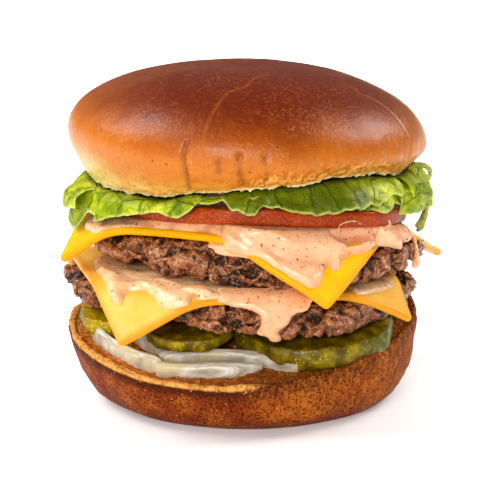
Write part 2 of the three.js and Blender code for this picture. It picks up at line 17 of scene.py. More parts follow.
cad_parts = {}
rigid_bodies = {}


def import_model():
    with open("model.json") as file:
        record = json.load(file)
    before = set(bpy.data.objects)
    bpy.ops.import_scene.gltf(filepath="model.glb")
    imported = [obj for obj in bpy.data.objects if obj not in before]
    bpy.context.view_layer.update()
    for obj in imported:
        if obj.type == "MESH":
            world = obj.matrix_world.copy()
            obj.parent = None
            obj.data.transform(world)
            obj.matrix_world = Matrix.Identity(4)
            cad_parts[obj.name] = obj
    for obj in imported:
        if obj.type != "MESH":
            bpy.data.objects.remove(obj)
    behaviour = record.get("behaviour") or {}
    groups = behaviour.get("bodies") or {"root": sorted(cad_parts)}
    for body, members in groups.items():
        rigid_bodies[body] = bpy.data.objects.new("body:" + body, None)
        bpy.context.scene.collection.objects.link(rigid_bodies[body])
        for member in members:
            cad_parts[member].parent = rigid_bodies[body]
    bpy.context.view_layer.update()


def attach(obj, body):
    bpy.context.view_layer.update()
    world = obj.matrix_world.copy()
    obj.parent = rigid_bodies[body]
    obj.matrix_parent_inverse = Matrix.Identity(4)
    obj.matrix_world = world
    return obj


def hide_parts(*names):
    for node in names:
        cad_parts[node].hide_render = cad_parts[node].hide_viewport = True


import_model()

# %% [markdown]
# ## Small tools
# Points are worked out with numpy in millimetres, because a bun's crust or a leaf's frill is a rule over
# thousands of points at once. One helper turns them into a mesh in metres, another pushes a mesh's points
# along their normals, and a third stores a number at each point for a material to read.

# %% Meshes from points in millimetres
MM = 0.001


def make_object(name, points, faces):
    mesh = bpy.data.meshes.new(name)
    mesh.from_pydata((np.asarray(points).reshape(-1, 3) * MM).tolist(), [], faces)
    return finish_object(name, mesh)


def finish_object(name, mesh):
    mesh.shade_smooth()
    made = bpy.data.objects.new(name, mesh)
    bpy.context.scene.collection.objects.link(made)
    return made


def points_of(thing):
    flat = np.empty(len(thing.data.vertices) * 3)
    thing.data.vertices.foreach_get("co", flat)
    return flat.reshape(-1, 3) / MM


def place_points(thing, points):
    thing.data.vertices.foreach_set("co", (points * MM).ravel())
    thing.data.update()


def normals_of(thing):
    flat = np.empty(len(thing.data.vertices) * 3)
    thing.data.vertex_normals.foreach_get("vector", flat)
    return flat.reshape(-1, 3)


def push_out(thing, distance):
    place_points(thing, points_of(thing) + normals_of(thing) * np.asarray(distance).reshape(-1, 1))


def store(thing, label, values):
    attribute = thing.data.attributes.new(label, "FLOAT", "POINT")
    attribute.data.foreach_set("value", np.asarray(values, dtype=float).ravel())


# %% Faces between rings of points, and between rows of points
def ring_faces(sizes):
    """Faces over rings of points, listed in order. A ring of one point closes the skin."""
    faces = []
    start = 0
    for low, high in zip(sizes, sizes[1:]):
        after = start + low
        for i in range(max(low, high)):
            a, b = start + i % low, start + (i + 1) % low
            c, d = after + i % high, after + (i + 1) % high
            corners = (a, b, d, c) if low > 1 and high > 1 else (a, b, d) if low > 1 else (a, d, c)
            faces.append(corners)
        start = after
    return faces


def skin(name, rings):
    return make_object(name, np.concatenate(rings), ring_faces([len(ring) for ring in rings]))


def sheet(name, top, bottom, kept=None):
    """A closed sheet between two grids of points, over all of its cells or only over those kept."""
    rows, columns = top.shape[:2]
    if kept is None:
        kept = np.ones((rows - 1, columns - 1), dtype=bool)
    below = rows * columns
    faces = []
    rim = set()
    for i, j in zip(*np.nonzero(kept)):
        a, b = int(i * columns + j), int((i + 1) * columns + j)
        corners = (a, b, b + 1, a + 1)
        faces.append(corners)
        faces.append(tuple(below + corner for corner in reversed(corners)))
        for edge in zip(corners, corners[1:] + corners[:1]):
            if edge[::-1] in rim:
                rim.remove(edge[::-1])
            else:
                rim.add(edge)
    faces += [(second, first, below + first, below + second) for first, second in rim]
    made = make_object(name, np.concatenate([top.reshape(-1, 3), bottom.reshape(-1, 3)]), faces)
    build = bmesh.new()
    build.from_mesh(made.data)
    bmesh.ops.delete(build, geom=[vert for vert in build.verts if not vert.link_faces], context="VERTS")
    bmesh.ops.remove_doubles(build, verts=build.verts, dist=1e-6)
    build.to_mesh(made.data)
    build.free()
    return made


# %% [markdown]
# ## Unevenness
# Food has no straight lines. The same few curves as in the solids give the large swells: a sum of sines
# round an edge, and a table of azimuths with smooth steps between them. Finer grain comes from noise on a
# grid of random numbers, which is repeatable because each number is worked out from its place.

# %% Curves round an edge, and grain
def waver(angle, phase, counts=(2, 3, 5)):
    return sum(np.sin(n * angle + phase * (i + 1.7)) for i, n in enumerate(counts)) / len(counts)


def around(*pairs):
    """A value that changes smoothly with the azimuth, through (azimuth in degrees, value) pairs."""
    azimuths, values = np.array(pairs, dtype=float).T

    def value(angle):
        azimuth = np.degrees(angle) % 360
        i = np.searchsorted(azimuths, azimuth, side="right") - 1
        j = (i + 1) % len(azimuths)
        span = (azimuths[j] - azimuths[i]) % 360
        share = ((azimuth - azimuths[i]) % 360) / span
        return values[i] + (values[j] - values[i]) * (1 - np.cos(np.pi * share)) / 2

    return value


def grain(points, size, seed=0):
    """Smooth noise from -1 to 1, with features of about size millimetres."""
    place = np.asarray(points) / size
    base = np.floor(place).astype(np.int64)
    share = place - base
    share = share * share * (3 - 2 * share)
    total = 0
    for corner in np.ndindex(2, 2, 2):
        i, j, k = (base[..., axis] + corner[axis] for axis in range(3))
        mixed = (i * 374761393 + j * 668265263 + k * 1440670441 + seed * 974634777) & 0xFFFFFFFF
        mixed = ((mixed ^ (mixed >> 13)) * 1274126177) & 0xFFFFFFFF
        number = ((mixed ^ (mixed >> 16)) & 0xFFFF) / 32767.5 - 1
        weight = np.prod([share[..., a] if corner[a] else 1 - share[..., a] for a in range(3)], axis=0)
        total = total + weight * number
    return total


def layered(points, size, seed=0, layers=3):
    return sum(grain(points, size / 2**i, seed + i) / 2**i for i in range(layers))


def step_up(low, high, value):
    share = np.clip((value - low) / (high - low), 0, 1)
    return share * share * (3 - 2 * share)


def along_line(points, line):
    """Distance from points to a line through a few places."""
    line = np.asarray(line, dtype=float)
    nearest = np.full(len(points), np.inf)
    for a, b in zip(line, line[1:]):
        share = np.clip(((points - a) @ (b - a)) / ((b - a) @ (b - a)), 0, 1)
        nearest = np.minimum(nearest, np.linalg.norm(points - a - share[:, None] * (b - a), axis=1))
    return nearest


# %% [markdown]
# ## Materials
# Each finish is a short function of nodes. Patterns read Object coordinates turned into millimetres, so
# that a noise of size 2 has grains of about 2 mm. Colours are written as they are seen on a screen.

# %% Node helpers
def colour(code):
    """The linear colour of a screen colour such as "c8a060"."""
    parts = [int(code[i : i + 2], 16) / 255 for i in (0, 2, 4)]
    return tuple(p / 12.92 if p < 0.04045 else ((p + 0.055) / 1.055) ** 2.4 for p in parts) + (1,)


def add_node(tree, kind, inputs=None, **settings):
    made = tree.nodes.new(kind)
    for key, value in settings.items():
        setattr(made, key, value)
    for key, value in (inputs or {}).items():
        if isinstance(value, bpy.types.NodeSocket):
            tree.links.new(value, made.inputs[key])
        else:
            made.inputs[key].default_value = value
    return made


class Finish:
    """A Principled material, with the few kinds of pattern that food needs.

    A coat is a weight and a roughness. Beneath the skin, light has a share, a depth in metres, and a reach
    for each of its colours.
    """

    def __init__(self, name, roughness, specular=0.5, coat=(0, 0.03), beneath=(0, 0.05, (1, 0.2, 0.1))):
        self.material = bpy.data.materials.new(name)
        self.material.use_nodes = True
        self.tree = self.material.node_tree
        self.shader = self.tree.nodes["Principled BSDF"]
        labels = ("Roughness", "Specular IOR Level", "Coat Weight", "Coat Roughness",
                  "Subsurface Weight", "Subsurface Scale", "Subsurface Radius")
        for label, value in zip(labels, (roughness, specular, *coat, *beneath)):
            self.shader.inputs[label].default_value = value
        place = self.add("ShaderNodeTexCoord").outputs["Object"]
        self.place = self.scaled(place, 1 / MM, 1 / MM, 1 / MM)

    def add(self, kind, inputs=None, **settings):
        return add_node(self.tree, kind, inputs, **settings)

    def scaled(self, place, x, y, z):
        return self.add("ShaderNodeMapping", {0: place, "Scale": (x, y, z)}, vector_type="POINT").outputs[0]

    def drawn_down(self, share):
        """Places squeezed in height, which draws a pattern out up and down."""
        return self.scaled(self.place, 1, 1, share)

    def noise(self, size, detail=3, place=None):
        inputs = {"Vector": place or self.place, "Scale": 1 / size, "Detail": detail, "Roughness": 0.55}
        return self.add("ShaderNodeTexNoise", inputs).outputs[0]

    def cells(self, size, feature="F1", place=None):
        inputs = {"Vector": place or self.place, "Scale": 1 / size}
        return self.add("ShaderNodeTexVoronoi", inputs, feature=feature).outputs["Distance"]

    def stored(self, label):
        return self.add("ShaderNodeAttribute", attribute_name=label).outputs["Fac"]

    def sums(self, operation, *values):
        return self.add("ShaderNodeMath", dict(enumerate(values)), operation=operation).outputs[0]

    def times(self, *values):
        return self.sums("MULTIPLY", *values)

    def band(self, value, low, high, out_low=0.0, out_high=1.0):
        inputs = {"Value": value, "From Min": low, "From Max": high, "To Min": out_low, "To Max": out_high}
        return self.add("ShaderNodeMapRange", inputs, interpolation_type="SMOOTHSTEP").outputs[0]

    def ramp(self, value, *stops):
        made = self.add("ShaderNodeValToRGB", {0: value})
        elements = made.color_ramp.elements
        while len(elements) < len(stops):
            elements.new(0.5)
        for element, (position, code) in zip(elements, stops):
            element.position = position
            element.color = colour(code)
        return made.outputs[0]

    def mix(self, share, first, second):
        first, second = (colour(side) if isinstance(side, str) else side for side in (first, second))
        return self.add("ShaderNodeMix", {0: share, 6: first, 7: second}, data_type="RGBA").outputs[2]

    def bump(self, height, depth, strength=1.0):
        inputs = {"Height": height, "Distance": depth * MM, "Strength": strength}
        return self.add("ShaderNodeBump", inputs).outputs[0]

    def wear(self, base=None, roughness=None, normal=None):
        for key, socket in (("Base Color", base), ("Roughness", roughness), ("Normal", normal)):
            if socket:
                self.tree.links.new(socket, self.shader.inputs[key])
        return self.material


# %% A finished piece
def dress(made, finish, node):
    """Gives a piece its material and its body, and hides the solid that it stands for."""
    made.data.materials.clear()
    made.data.materials.append(finish)
    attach(made, "root")
    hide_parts(node)
    print(made.name, "points:", len(made.data.vertices))


print("helpers ready")

# %% [markdown]
# ## Camera, floor and light
# The burger is seen from a little above, through a long lens half a metre away, so that its layers look
# nearly level. Soft boxes on the left, on the right and in front light it, and the first two give the
# bun's glaze its broad pale patches. A large panel behind it lights the floor, and glossy things don't
# mirror it. The world and the far floor look white to the camera, but add little light of their own.

# %% Camera
CAMERA_DISTANCE = 520
CAMERA_HEIGHT = 160
CAMERA_DIP = 12.5
camera = bpy.data.objects.new("camera", bpy.data.cameras.new("camera"))
camera.data.lens = 120.96
camera.data.sensor_width = 36
camera.location = (0, -CAMERA_DISTANCE * MM, CAMERA_HEIGHT * MM)
camera.rotation_euler = (np.radians(90 - CAMERA_DIP), 0, 0)
bpy.context.scene.collection.objects.link(camera)
bpy.context.scene.camera = camera
bpy.context.scene.view_settings.view_transform = "Standard"
bpy.context.scene.view_settings.look = "Medium High Contrast"


# %% Soft boxes and panel
BURGER_MIDDLE = Vector((0, 0, 0.06))


def add_light(name, size, power, place, turn=(0, 0, 0)):
    light = bpy.data.lights.new(name, "AREA")
    light.shape = "RECTANGLE"
    light.size, light.size_y = size
    light.energy = power
    made = bpy.data.objects.new(name, light)
    made.location, made.rotation_euler = place, turn
    bpy.context.scene.collection.objects.link(made)
    return made


for name, way, distance, size, power in (
    ("box_left", (-0.7, 0.02, 0.72), 0.9, 0.54, 5.2),
    ("box_right", (0.8, 0.28, 0.66), 0.9, 0.42, 4.4),
    ("box_front", (-0.2, -0.9, 0.3), 1.3, 0.5, 9.8),
):
    way = Vector(way).normalized()
    turn = way.to_track_quat("Z", "Y").to_euler()
    add_light(name, (size, size), power, way * distance + BURGER_MIDDLE, turn)
add_light("panel_back", (3.8, 2.2), 120, (0, 2.8, 1.1)).visible_glossy = False

# %% World and floor
WORLD_SEEN = 0.9
WORLD_LIGHT = 0.17
FLOOR_HALF = 3000
FLOOR_GLOW = 0.14
FAR_FLOOR = (350, 900)
world = bpy.data.worlds.new("studio")
world.use_nodes = True
sky = world.node_tree.nodes["Background"]
sky.inputs["Color"].default_value = (1, 1, 1, 1)
seen = add_node(world.node_tree, "ShaderNodeLightPath").outputs["Is Camera Ray"]
shares = {0: seen, 1: WORLD_SEEN, 2: WORLD_LIGHT}
strength = add_node(world.node_tree, "ShaderNodeMath", shares, operation="MULTIPLY_ADD")
world.node_tree.links.new(strength.outputs[0], sky.inputs["Strength"])
bpy.context.scene.world = world

floor_corners = [(x * FLOOR_HALF, y * FLOOR_HALF, 0) for x, y in ((-1, -1), (1, -1), (1, 1), (-1, 1))]
floor = make_object("floor", floor_corners, [(0, 1, 2, 3)])
white = Finish("floor_white", roughness=0.9, specular=0)
white.shader.inputs["Base Color"].default_value = (0.9, 0.9, 0.9, 1)
away = white.add("ShaderNodeVectorMath", {0: white.place}, operation="LENGTH").outputs["Value"]
seen = white.add("ShaderNodeLightPath").outputs["Is Camera Ray"]
glow = white.sums("ADD", FLOOR_GLOW, white.times(white.band(away, *FAR_FLOOR), seen))
white.tree.links.new(glow, white.shader.inputs["Emission Strength"])
floor.data.materials.append(white.material)

# %% [markdown]
# ## The bun
# A burger bun is baked as one ball, glazed, and cut across. The top half, the crown, is a low dome of
# satin crust: almost mahogany on top, orange down the side, and cream near the cut, where the next bun
# shielded it in the oven. It is a turned shape, so it is made of rings: the cut face, a lip that rolls
# outwards, and the dome. The solid's own sizes are used again, with several times as many points.

# %% Sizes of the crown
BUN_RADIUS = 55.7
CROWN_X = -0.8
CROWN_CUT = 72.8
CROWN_CUT_RADIUS = 50
CROWN_WIDEST = 82.4
CROWN_TOP = 104.3
CROWN_ROLL = 0.0425
TOP_ROLL = 0.015
TURN = np.linspace(0, 2 * np.pi, 600, endpoint=False)
cut_edge = around(
    (0, 73.4), (30, 72.6), (90, 72), (160, 72), (192, 70.6), (215, 69.4), (238, 69.5), (255, 71.7),
    (270, 73), (286, 73.8), (300, 75.3), (314, 75.1), (336, 72.6),
)


def crown_cut(radius, angle):
    share = np.minimum(radius / CROWN_CUT_RADIUS, 1) ** 2
    return CROWN_CUT + (cut_edge(angle) - CROWN_CUT) * share


def crown_ring(radius, angle, height):
    wobble = radius * (1 + 0.006 * waver(angle, 2))
    return np.stack([CROWN_X + wobble * np.cos(angle), wobble * np.sin(angle), height + 0 * angle], axis=-1)


# %% Rings of the crown
def crown_rings():
    widest = CROWN_WIDEST - CROWN_ROLL * BUN_RADIUS * np.cos(TURN)
    rings = [np.array([[CROWN_X, 0, CROWN_CUT]])]
    for radius in np.linspace(4, CROWN_CUT_RADIUS - 1, 20):
        rings.append(crown_ring(radius, TURN, crown_cut(radius, TURN)))
    for up in np.linspace(0, 1, 26, endpoint=False):
        radius = CROWN_CUT_RADIUS + (BUN_RADIUS - CROWN_CUT_RADIUS) * np.sin(np.pi / 2 * up**1.2)
        rings.append(crown_ring(radius, TURN, cut_edge(TURN) * (1 - up) + widest * up))
    for slope in np.linspace(0, np.pi / 2, 76, endpoint=False):
        radius = BUN_RADIUS * np.cos(slope) ** 0.92
        top = CROWN_TOP - TOP_ROLL * radius * np.cos(TURN)
        rings.append(crown_ring(radius, TURN, widest + (top - widest) * np.sin(slope)))
    rings.append(np.array([[CROWN_X, 0, CROWN_TOP]]))
    return rings


crown = skin("crown", crown_rings())
print("crown rings done")

# %% [markdown]
# The crust is not a perfect dome. The dough left shallow dents, the skin split in a few thin cracks as it
# cooled, and short folds run up from the cut. Each line is a handful of places on the dome, and the crust
# is pressed in near it. The torn edge of the cut is roughened last.

# %% Dents, cracks and the torn edge
def on_crown(azimuth, radius, height):
    angle = np.radians(azimuth)
    return (CROWN_X + radius * np.cos(angle), radius * np.sin(angle), height)


CRACKS = [  # places on the crust, depth and width of the line
    ([(286, 22, 102.7), (275, 25, 102.2), (269, 32, 100.7), (261, 37, 99.3), (258.6, 44, 96.6),
      (257.2, 50, 92.6), (256.8, 52, 90.6), (256.8, 54.4, 87.2)], 0.14, 0.34),
    ([(252.2, 54.6, 87.4), (251.3, 55.6, 84.6), (251.4, 55, 80), (251.4, 52.7, 76.1), (251, 50.5, 72.4)],
     0.9, 0.6),
    ([(267.9, 55.5, 84.2), (267.9, 54.5, 79.2), (268.6, 51, 74.4)], 0.8, 0.8),
    ([(275.4, 55.6, 83.4), (276.1, 52.6, 76.6)], 0.6, 0.8),
    ([(261.6, 55.6, 82.2), (261.6, 54.4, 79.1)], 0.4, 0.8),
    ([(330, 34, 99.5), (327, 40.6, 96.8), (330.3, 45.5, 94.2), (330.4, 50.4, 90.6), (330.2, 53.5, 87),
      (331, 55.2, 83.5), (329.5, 55.6, 79.8)], 0.3, 0.5),
]
crown_points = points_of(crown)
crown_angle = np.arctan2(crown_points[:, 1], crown_points[:, 0] - CROWN_X)
crown_radius = np.hypot(crown_points[:, 0] - CROWN_X, crown_points[:, 1])
above_cut = crown_points[:, 2] - crown_cut(crown_radius, crown_angle)
on_crust = step_up(0.2, 2.5, above_cut)
dents = on_crust * (0.4 * layered(crown_points, 24, 3, 2) + 0.1 * grain(crown_points, 6, 8))
wrinkled = step_up(0.5, 0.88, np.cos(crown_angle - np.radians(308))) * step_up(14, 4, above_cut)
folds = 0.4 * wrinkled * layered(crown_points * (1, 1, 0.22), 2.2, 5, 2) * on_crust
crack_mark = np.zeros(len(crown_points))
fold_mark = np.zeros(len(crown_points))
for line, depth, width in CRACKS:
    near = np.exp(-((along_line(crown_points, [on_crown(*place) for place in line]) / width) ** 2))
    if width < 0.6:
        crack_mark = np.maximum(crack_mark, near)
    else:
        fold_mark = np.maximum(fold_mark, near)
    dents -= depth * near
from_dimple = ((crown_points[:, 0] + 6) / 13) ** 2 + ((crown_points[:, 1] + 6) / 9) ** 2
dimple = -0.8 * np.exp(-from_dimple) * on_crust
torn = (1 - step_up(0, 1.6, np.abs(above_cut))) * step_up(44, 48, crown_radius)
crumbly = (1 - on_crust) * (0.45 * layered(crown_points, 2.2, 11) - 0.3)
crumbly = crumbly + 0.4 * torn * grain(crown_points, 1.1, 7)
push_out(crown, dents + folds + dimple + crumbly)
print("crust pressed in by up to", round(float(-dents.min()), 2), "mm")

# %% [markdown]
# How dark the crust is depends on how far it is from the cut, and the pale band is widest on the left and
# at the back. That is worked out here once and stored on the points, so that the material only has to
# turn it into a colour.

# %% How far the crust is baked
pale_band = around(
    (0, 1), (40, 4), (120, 5), (180, 6.5), (205, 5.6), (218, 4), (228, 1.2), (240, -1), (252, -2.6),
    (265, -4.5), (290, -6), (325, -5.5), (345, -2),
)
baked = (above_cut - pale_band(crown_angle)) / (CROWN_TOP - CROWN_CUT - 2)
baked += 0.05 * layered(crown_points, 11, 21) + 0.03 * grain(crown_points, 3, 4)
store(crown, "baked", np.clip(baked, -0.25, 1))
store(crown, "crumb", 1 - step_up(-0.1, 0.9, above_cut))
store(crown, "crack", crack_mark)
store(crown, "fold", fold_mark)
store(crown, "streak", wrinkled * step_up(12, 2, above_cut))


# %% Crown crust
def crown_finish():
    crust = Finish("bun_crown_crust", roughness=0.34, specular=0.34, coat=(0.12, 0.22))
    baked = crust.stored("baked")
    fine = crust.noise(0.9, 4)
    ragged = crust.sums("ADD", baked, crust.times(crust.sums("SUBTRACT", fine, 0.5), 0.1))
    shifted = crust.band(ragged, -0.25, 1)
    tone = crust.ramp(
        shifted, (0, "e0cd86"), (0.14, "ddb05c"), (0.24, "cf8f34"), (0.36, "ca7820"), (0.54, "ca7620"),
        (0.76, "ac580e"), (1, "702402"),
    )
    mottled = crust.mix(crust.band(crust.noise(1.6, 4), 0.5, 0.66, 0, 0.3), tone, "a8500c")
    freckles = crust.band(crust.noise(0.85, 2), 0.56, 0.66)
    freckled = crust.mix(crust.times(freckles, crust.band(crust.noise(16, 2), 0.4, 0.65, 0.04, 0.3)),
                         mottled, "e09a48")
    # The small pits are darkened, a painted shade in the hollows that the bump sinks.
    pits = crust.band(crust.cells(3.6), 0.12, 0.05)
    pitted = crust.mix(crust.times(pits, 0.7), freckled, "4a1c0c")
    split = crust.mix(crust.times(crust.stored("crack"), 0.3), pitted, "d08434")
    # The folds are darkened, a painted shade in the creases that are pressed into the crust.
    split = crust.mix(crust.times(crust.stored("fold"), 0.6), split, "7c3a0c")
    streak, strands = crust.stored("streak"), crust.noise(1.1, 3, place=crust.drawn_down(0.22))
    split = crust.mix(crust.band(crust.times(streak, strands), 0.42, 0.6, 0, 0.8), split, "ecb460")
    split = crust.mix(crust.times(streak, crust.band(strands, 0.46, 0.36, 0, 0.5)), split, "9a5014")
    inside = crust.ramp(crust.noise(1.6, 5), (0.3, "d9b36c"), (0.6, "f6e8bd"))
    crumb = crust.mix(crust.stored("crumb"), split, inside)
    height = crust.sums("ADD", crust.noise(0.6, 4), crust.times(crust.noise(2.2, 4), 1.4))
    rough = crust.band(crust.stored("crumb"), 0, 1, 0.3, 0.85)
    return crust.wear(crumb, rough, crust.bump(crust.sums("SUBTRACT", height, pits), 0.24, 0.8))


dress(crown, crown_finish(), "crown_bun")

# %% [markdown]
# The heel is the bottom half. It was baked against a tray, so its side is redder, drier and full of pores,
# and it narrows towards the table. The cut face lies a little below a hard golden rim. Its solid's rule
# gives the rings here too: underside, wall, rim and cut face.

# %% Rings of the heel
HEEL_RADIUS = 55.2
HEEL_BACK = 26.5
HEEL_FRONT_SAG = 10.4
HEEL_X = -2.5
BASE_SHIFT = 1.5
RIM_WIDTH = 2.4
DISH = 1.3
HEEL_SIDE = [(0.815, 0), (0.9, 0.17), (0.952, 0.42), (0.98, 0.68), (1, 0.92), (0.99, 1)]


def heel_rim(x, y):
    forward = np.clip((5 - y) / (HEEL_RADIUS + 5), 0, 1.2)
    return HEEL_BACK + 0.035 * x - HEEL_FRONT_SAG * forward**1.3


def heel_rings():
    radius = HEEL_RADIUS * (1 + 0.008 * waver(TURN, 1) + 0.005 * waver(TURN, 3, (7, 9, 13)))
    notched = 0.5 * waver(TURN, 4, (7, 11, 16))

    def ring(out, height, shift=0.0):
        x, y = HEEL_X + out * np.cos(TURN), out * np.sin(TURN)
        return np.stack([x + shift, y, height(x, y)], axis=-1)

    rings = [np.array([[HEEL_X + BASE_SHIFT, 0, 0]])]
    for share in np.linspace(0.08, 0.97, 12):
        rings.append(ring(share * HEEL_SIDE[0][0] * radius, lambda x, y: 0 * x, BASE_SHIFT))
    shares, ups = np.array(HEEL_SIDE).T
    for up in np.linspace(0, 1, 46):
        out = np.interp(up, ups, shares) - 0.012 * np.exp(-((up / 0.05) ** 2))
        rings.append(ring(out * radius, lambda x, y: up * (heel_rim(x, y) + notched), (1 - up) * BASE_SHIFT))
    for share in (0.25, 0.5, 0.75, 0.95):
        wide = 0.99 * radius - share * RIM_WIDTH
        rings.append(ring(wide, lambda x, y: heel_rim(x, y) + notched - DISH * share**3))
    for inset in np.linspace(RIM_WIDTH + 0.6, 52, 30):
        rings.append(ring(radius - inset, lambda x, y: heel_rim(x, y) - DISH))
    rings.append(np.array([[HEEL_X, 0, heel_rim(HEEL_X, 0) - DISH]]))
    return rings


heel = skin("heel", heel_rings())

# %% Crust, rim and crumb of the heel
heel_points = points_of(heel)
heel_out = np.hypot(heel_points[:, 0] - HEEL_X, heel_points[:, 1])
heel_angle = np.arctan2(heel_points[:, 1], heel_points[:, 0] - HEEL_X)
below_rim = heel_rim(heel_points[:, 0], heel_points[:, 1]) - heel_points[:, 2]
face_radius = HEEL_RADIUS - RIM_WIDTH
on_face = step_up(face_radius + 0.6, face_radius - 0.8, heel_out) * step_up(6, 3, below_rim)
right_side = step_up(0.45, 0.85, np.cos(heel_angle - np.radians(328)))
near_rim = np.exp(-((below_rim / 1.9) ** 2)) * (1 - on_face) * (1 - 0.85 * right_side)
wall = step_up(1.2, 4, heel_points[:, 2]) * (1 - on_face)
uneven = wall * (0.35 * layered(heel_points, 18, 31, 2) + 0.12 * grain(heel_points, 3.5, 2))
uneven += near_rim * 0.35 * layered(heel_points, 2.6, 14)
uneven += 0.35 * right_side * wall * layered(heel_points * (1, 1, 0.4), 2.6, 6)
uneven += on_face * 0.5 * layered(heel_points, 2.0, 9)
push_out(heel, uneven)
store(heel, "face", on_face * (1 - 0.5 * right_side))
toasted_edge = step_up(HEEL_RADIUS - 5.4, HEEL_RADIUS - 3.6, heel_out) * on_face * (1 - 0.85 * right_side)
store(heel, "rim", np.maximum(near_rim, toasted_edge))
store(heel, "below_rim", below_rim)
store(heel, "bark", right_side * step_up(2, 6, heel_points[:, 2]))


def heel_finish():
    crust = Finish("bun_heel_crust", roughness=0.5, specular=0.1)
    patches = crust.noise(9, 4)
    side = crust.ramp(patches, (0.3, "7a2e0a"), (0.5, "904212"), (0.66, "b4621e"))
    # The wall is darkened low down towards the table, a painted shade, and in a band just under the rim,
    # another painted shade.
    underside = crust.mix(crust.band(crust.stored("below_rim"), 20, 30), side, "6a2c0a")
    shade = crust.mix(crust.band(crust.stored("below_rim"), 5.5, 2, 0, 0.9), underside, "4e1e0a")
    bubbles = crust.cells(1.05)
    grainy = crust.mix(crust.band(bubbles, 0.3, 0.08, 0, 0.2), shade, "cc7c34")
    # The gaps between the crust's grains are darkened, a painted shade where the bump also sinks.
    grainy = crust.mix(crust.band(bubbles, 0.4, 0.66, 0, 0.3), grainy, "5a2408")
    creases = crust.noise(1.25, 4, place=crust.drawn_down(0.3))
    # On the right the ridges of the furrows are painted lighter, a painted highlight.
    lit = crust.times(crust.stored("bark"), crust.band(creases, 0.42, 0.66, 0.2, 0.6))
    grainy = crust.mix(lit, grainy, "cc7a30")
    # The pores are darkened, a painted shade in the small holes that the bump sinks.
    pores = crust.band(crust.cells(0.95), 0.42, 0.18)
    porous = crust.mix(crust.times(pores, 0.7), grainy, "401806")
    # Small pale spots at cell centres are painted glints of light on the crust.
    dusty = crust.band(crust.cells(2.1), 0.16, 0.1, 0, 0.5)
    porous = crust.mix(dusty, porous, "e8a860")
    ragged = crust.times(crust.noise(2.5, 4), 0.35)
    rim = crust.band(crust.sums("ADD", crust.stored("rim"), ragged), 0.75, 1.05)
    rimmed = crust.mix(rim, porous, crust.ramp(crust.noise(1.4, 4), (0.3, "cc7c30"), (0.65, "f2b868")))
    crumb = crust.ramp(crust.noise(1.8, 5), (0.25, "8a4412"), (0.5, "b46824"), (0.72, "d8964c"))
    whole = crust.mix(crust.times(crust.stored("face"), crust.sums("SUBTRACT", 1.0, rim)), rimmed, crumb)
    rough = crust.sums("SUBTRACT", crust.noise(1.4, 4), crust.times(bubbles, 0.7))
    furrows = crust.times(crust.stored("bark"), crust.times(creases, 2.5))
    height = crust.sums("ADD", crust.sums("SUBTRACT", rough, pores), furrows)
    return crust.wear(whole, normal=crust.bump(height, 0.34, 1.0))


dress(heel, heel_finish(), "heel_bun")

# %% [markdown]
# ## Geometry Nodes
# Minced meat, crumbs, onion strips and runs of sauce all repeat one small shape or follow a path, which is
# work for Geometry Nodes. Each tree is built from a few nodes with named inputs, run once on its base, and
# its result is taken as a plain mesh.

# %% Building and running a tree
def new_tree(name, *inputs):
    """A Geometry Nodes tree, its inputs by name, and a function that adds a node and gives an output."""
    tree = bpy.data.node_groups.new(name, "GeometryNodeTree")
    tree.interface.new_socket("Geometry", in_out="INPUT", socket_type="NodeSocketGeometry")
    for label, kind, value in inputs:
        socket = tree.interface.new_socket(label, in_out="INPUT", socket_type=f"NodeSocket{kind}")
        socket.default_value = value
    tree.interface.new_socket("Geometry", in_out="OUTPUT", socket_type="NodeSocketGeometry")

    def put(kind, inputs=None, output=0, **settings):
        return add_node(tree, kind, inputs, **settings).outputs[output]

    return tree, tree.nodes.new("NodeGroupInput").outputs, put


def end_tree(tree, geometry, material):
    """Every tree ends with real, separate meshes and their material."""
    real = add_node(tree, "GeometryNodeRealizeInstances", {0: geometry}).outputs[0]
    painted = add_node(tree, "GeometryNodeSetMaterial", {"Geometry": real, "Material": material}).outputs[0]
    add_node(tree, "NodeGroupOutput", {0: painted})
    return tree


def run_tree(name, tree, base, values):
    """The plain mesh object that a tree makes from a base object."""
    modifier = base.modifiers.new(name, "NODES")
    modifier.node_group = tree
    sockets = {item.name: item.identifier for item in tree.interface.items_tree if item.in_out == "INPUT"}
    for label, value in values.items():
        modifier[sockets[label]] = value
    made = taken(name, base)
    base.modifiers.remove(modifier)
    return made


def taken(name, base):
    """A new object with the mesh that a base object's modifiers make."""
    evaluated = base.evaluated_get(bpy.context.evaluated_depsgraph_get())
    return finish_object(name, bpy.data.meshes.new_from_object(evaluated))


def discard(*things):
    for thing in things:
        mesh = thing.data
        bpy.data.objects.remove(thing)
        bpy.data.meshes.remove(mesh)


def joined(name, things):
    mesh = bpy.data.meshes.new(name)
    build = bmesh.new()
    for thing in things:
        build.from_mesh(thing.data)
    build.to_mesh(mesh)
    build.free()
    discard(*things)
    return finish_object(name, mesh)


def fused(name, things, voxel, smooth):
    """One closed skin over several overlapping meshes, made of voxels and then smoothed."""
    base = joined(name + "_parts", things)
    remesh = base.modifiers.new("voxels", "REMESH")
    remesh.mode = "VOXEL"
    remesh.voxel_size = voxel * MM
    soften = base.modifiers.new("smooth", "SMOOTH")
    soften.iterations = smooth
    soften.factor = 0.5
    made = taken(name, base)
    discard(base)
    return made


def cad_copy(node):
    """A copy of a solid from the frame, as one merged mesh."""
    source = next(thing for thing in bpy.data.objects if thing.type == "MESH" and thing.name == node)
    build = bmesh.new()
    build.from_mesh(source.data)
    build.transform(source.matrix_world)
    bmesh.ops.remove_doubles(build, verts=build.verts, dist=1e-6)
    mesh = bpy.data.meshes.new(node + "_copy")
    build.to_mesh(mesh)
    build.free()
    return finish_object(node + "_copy", mesh)


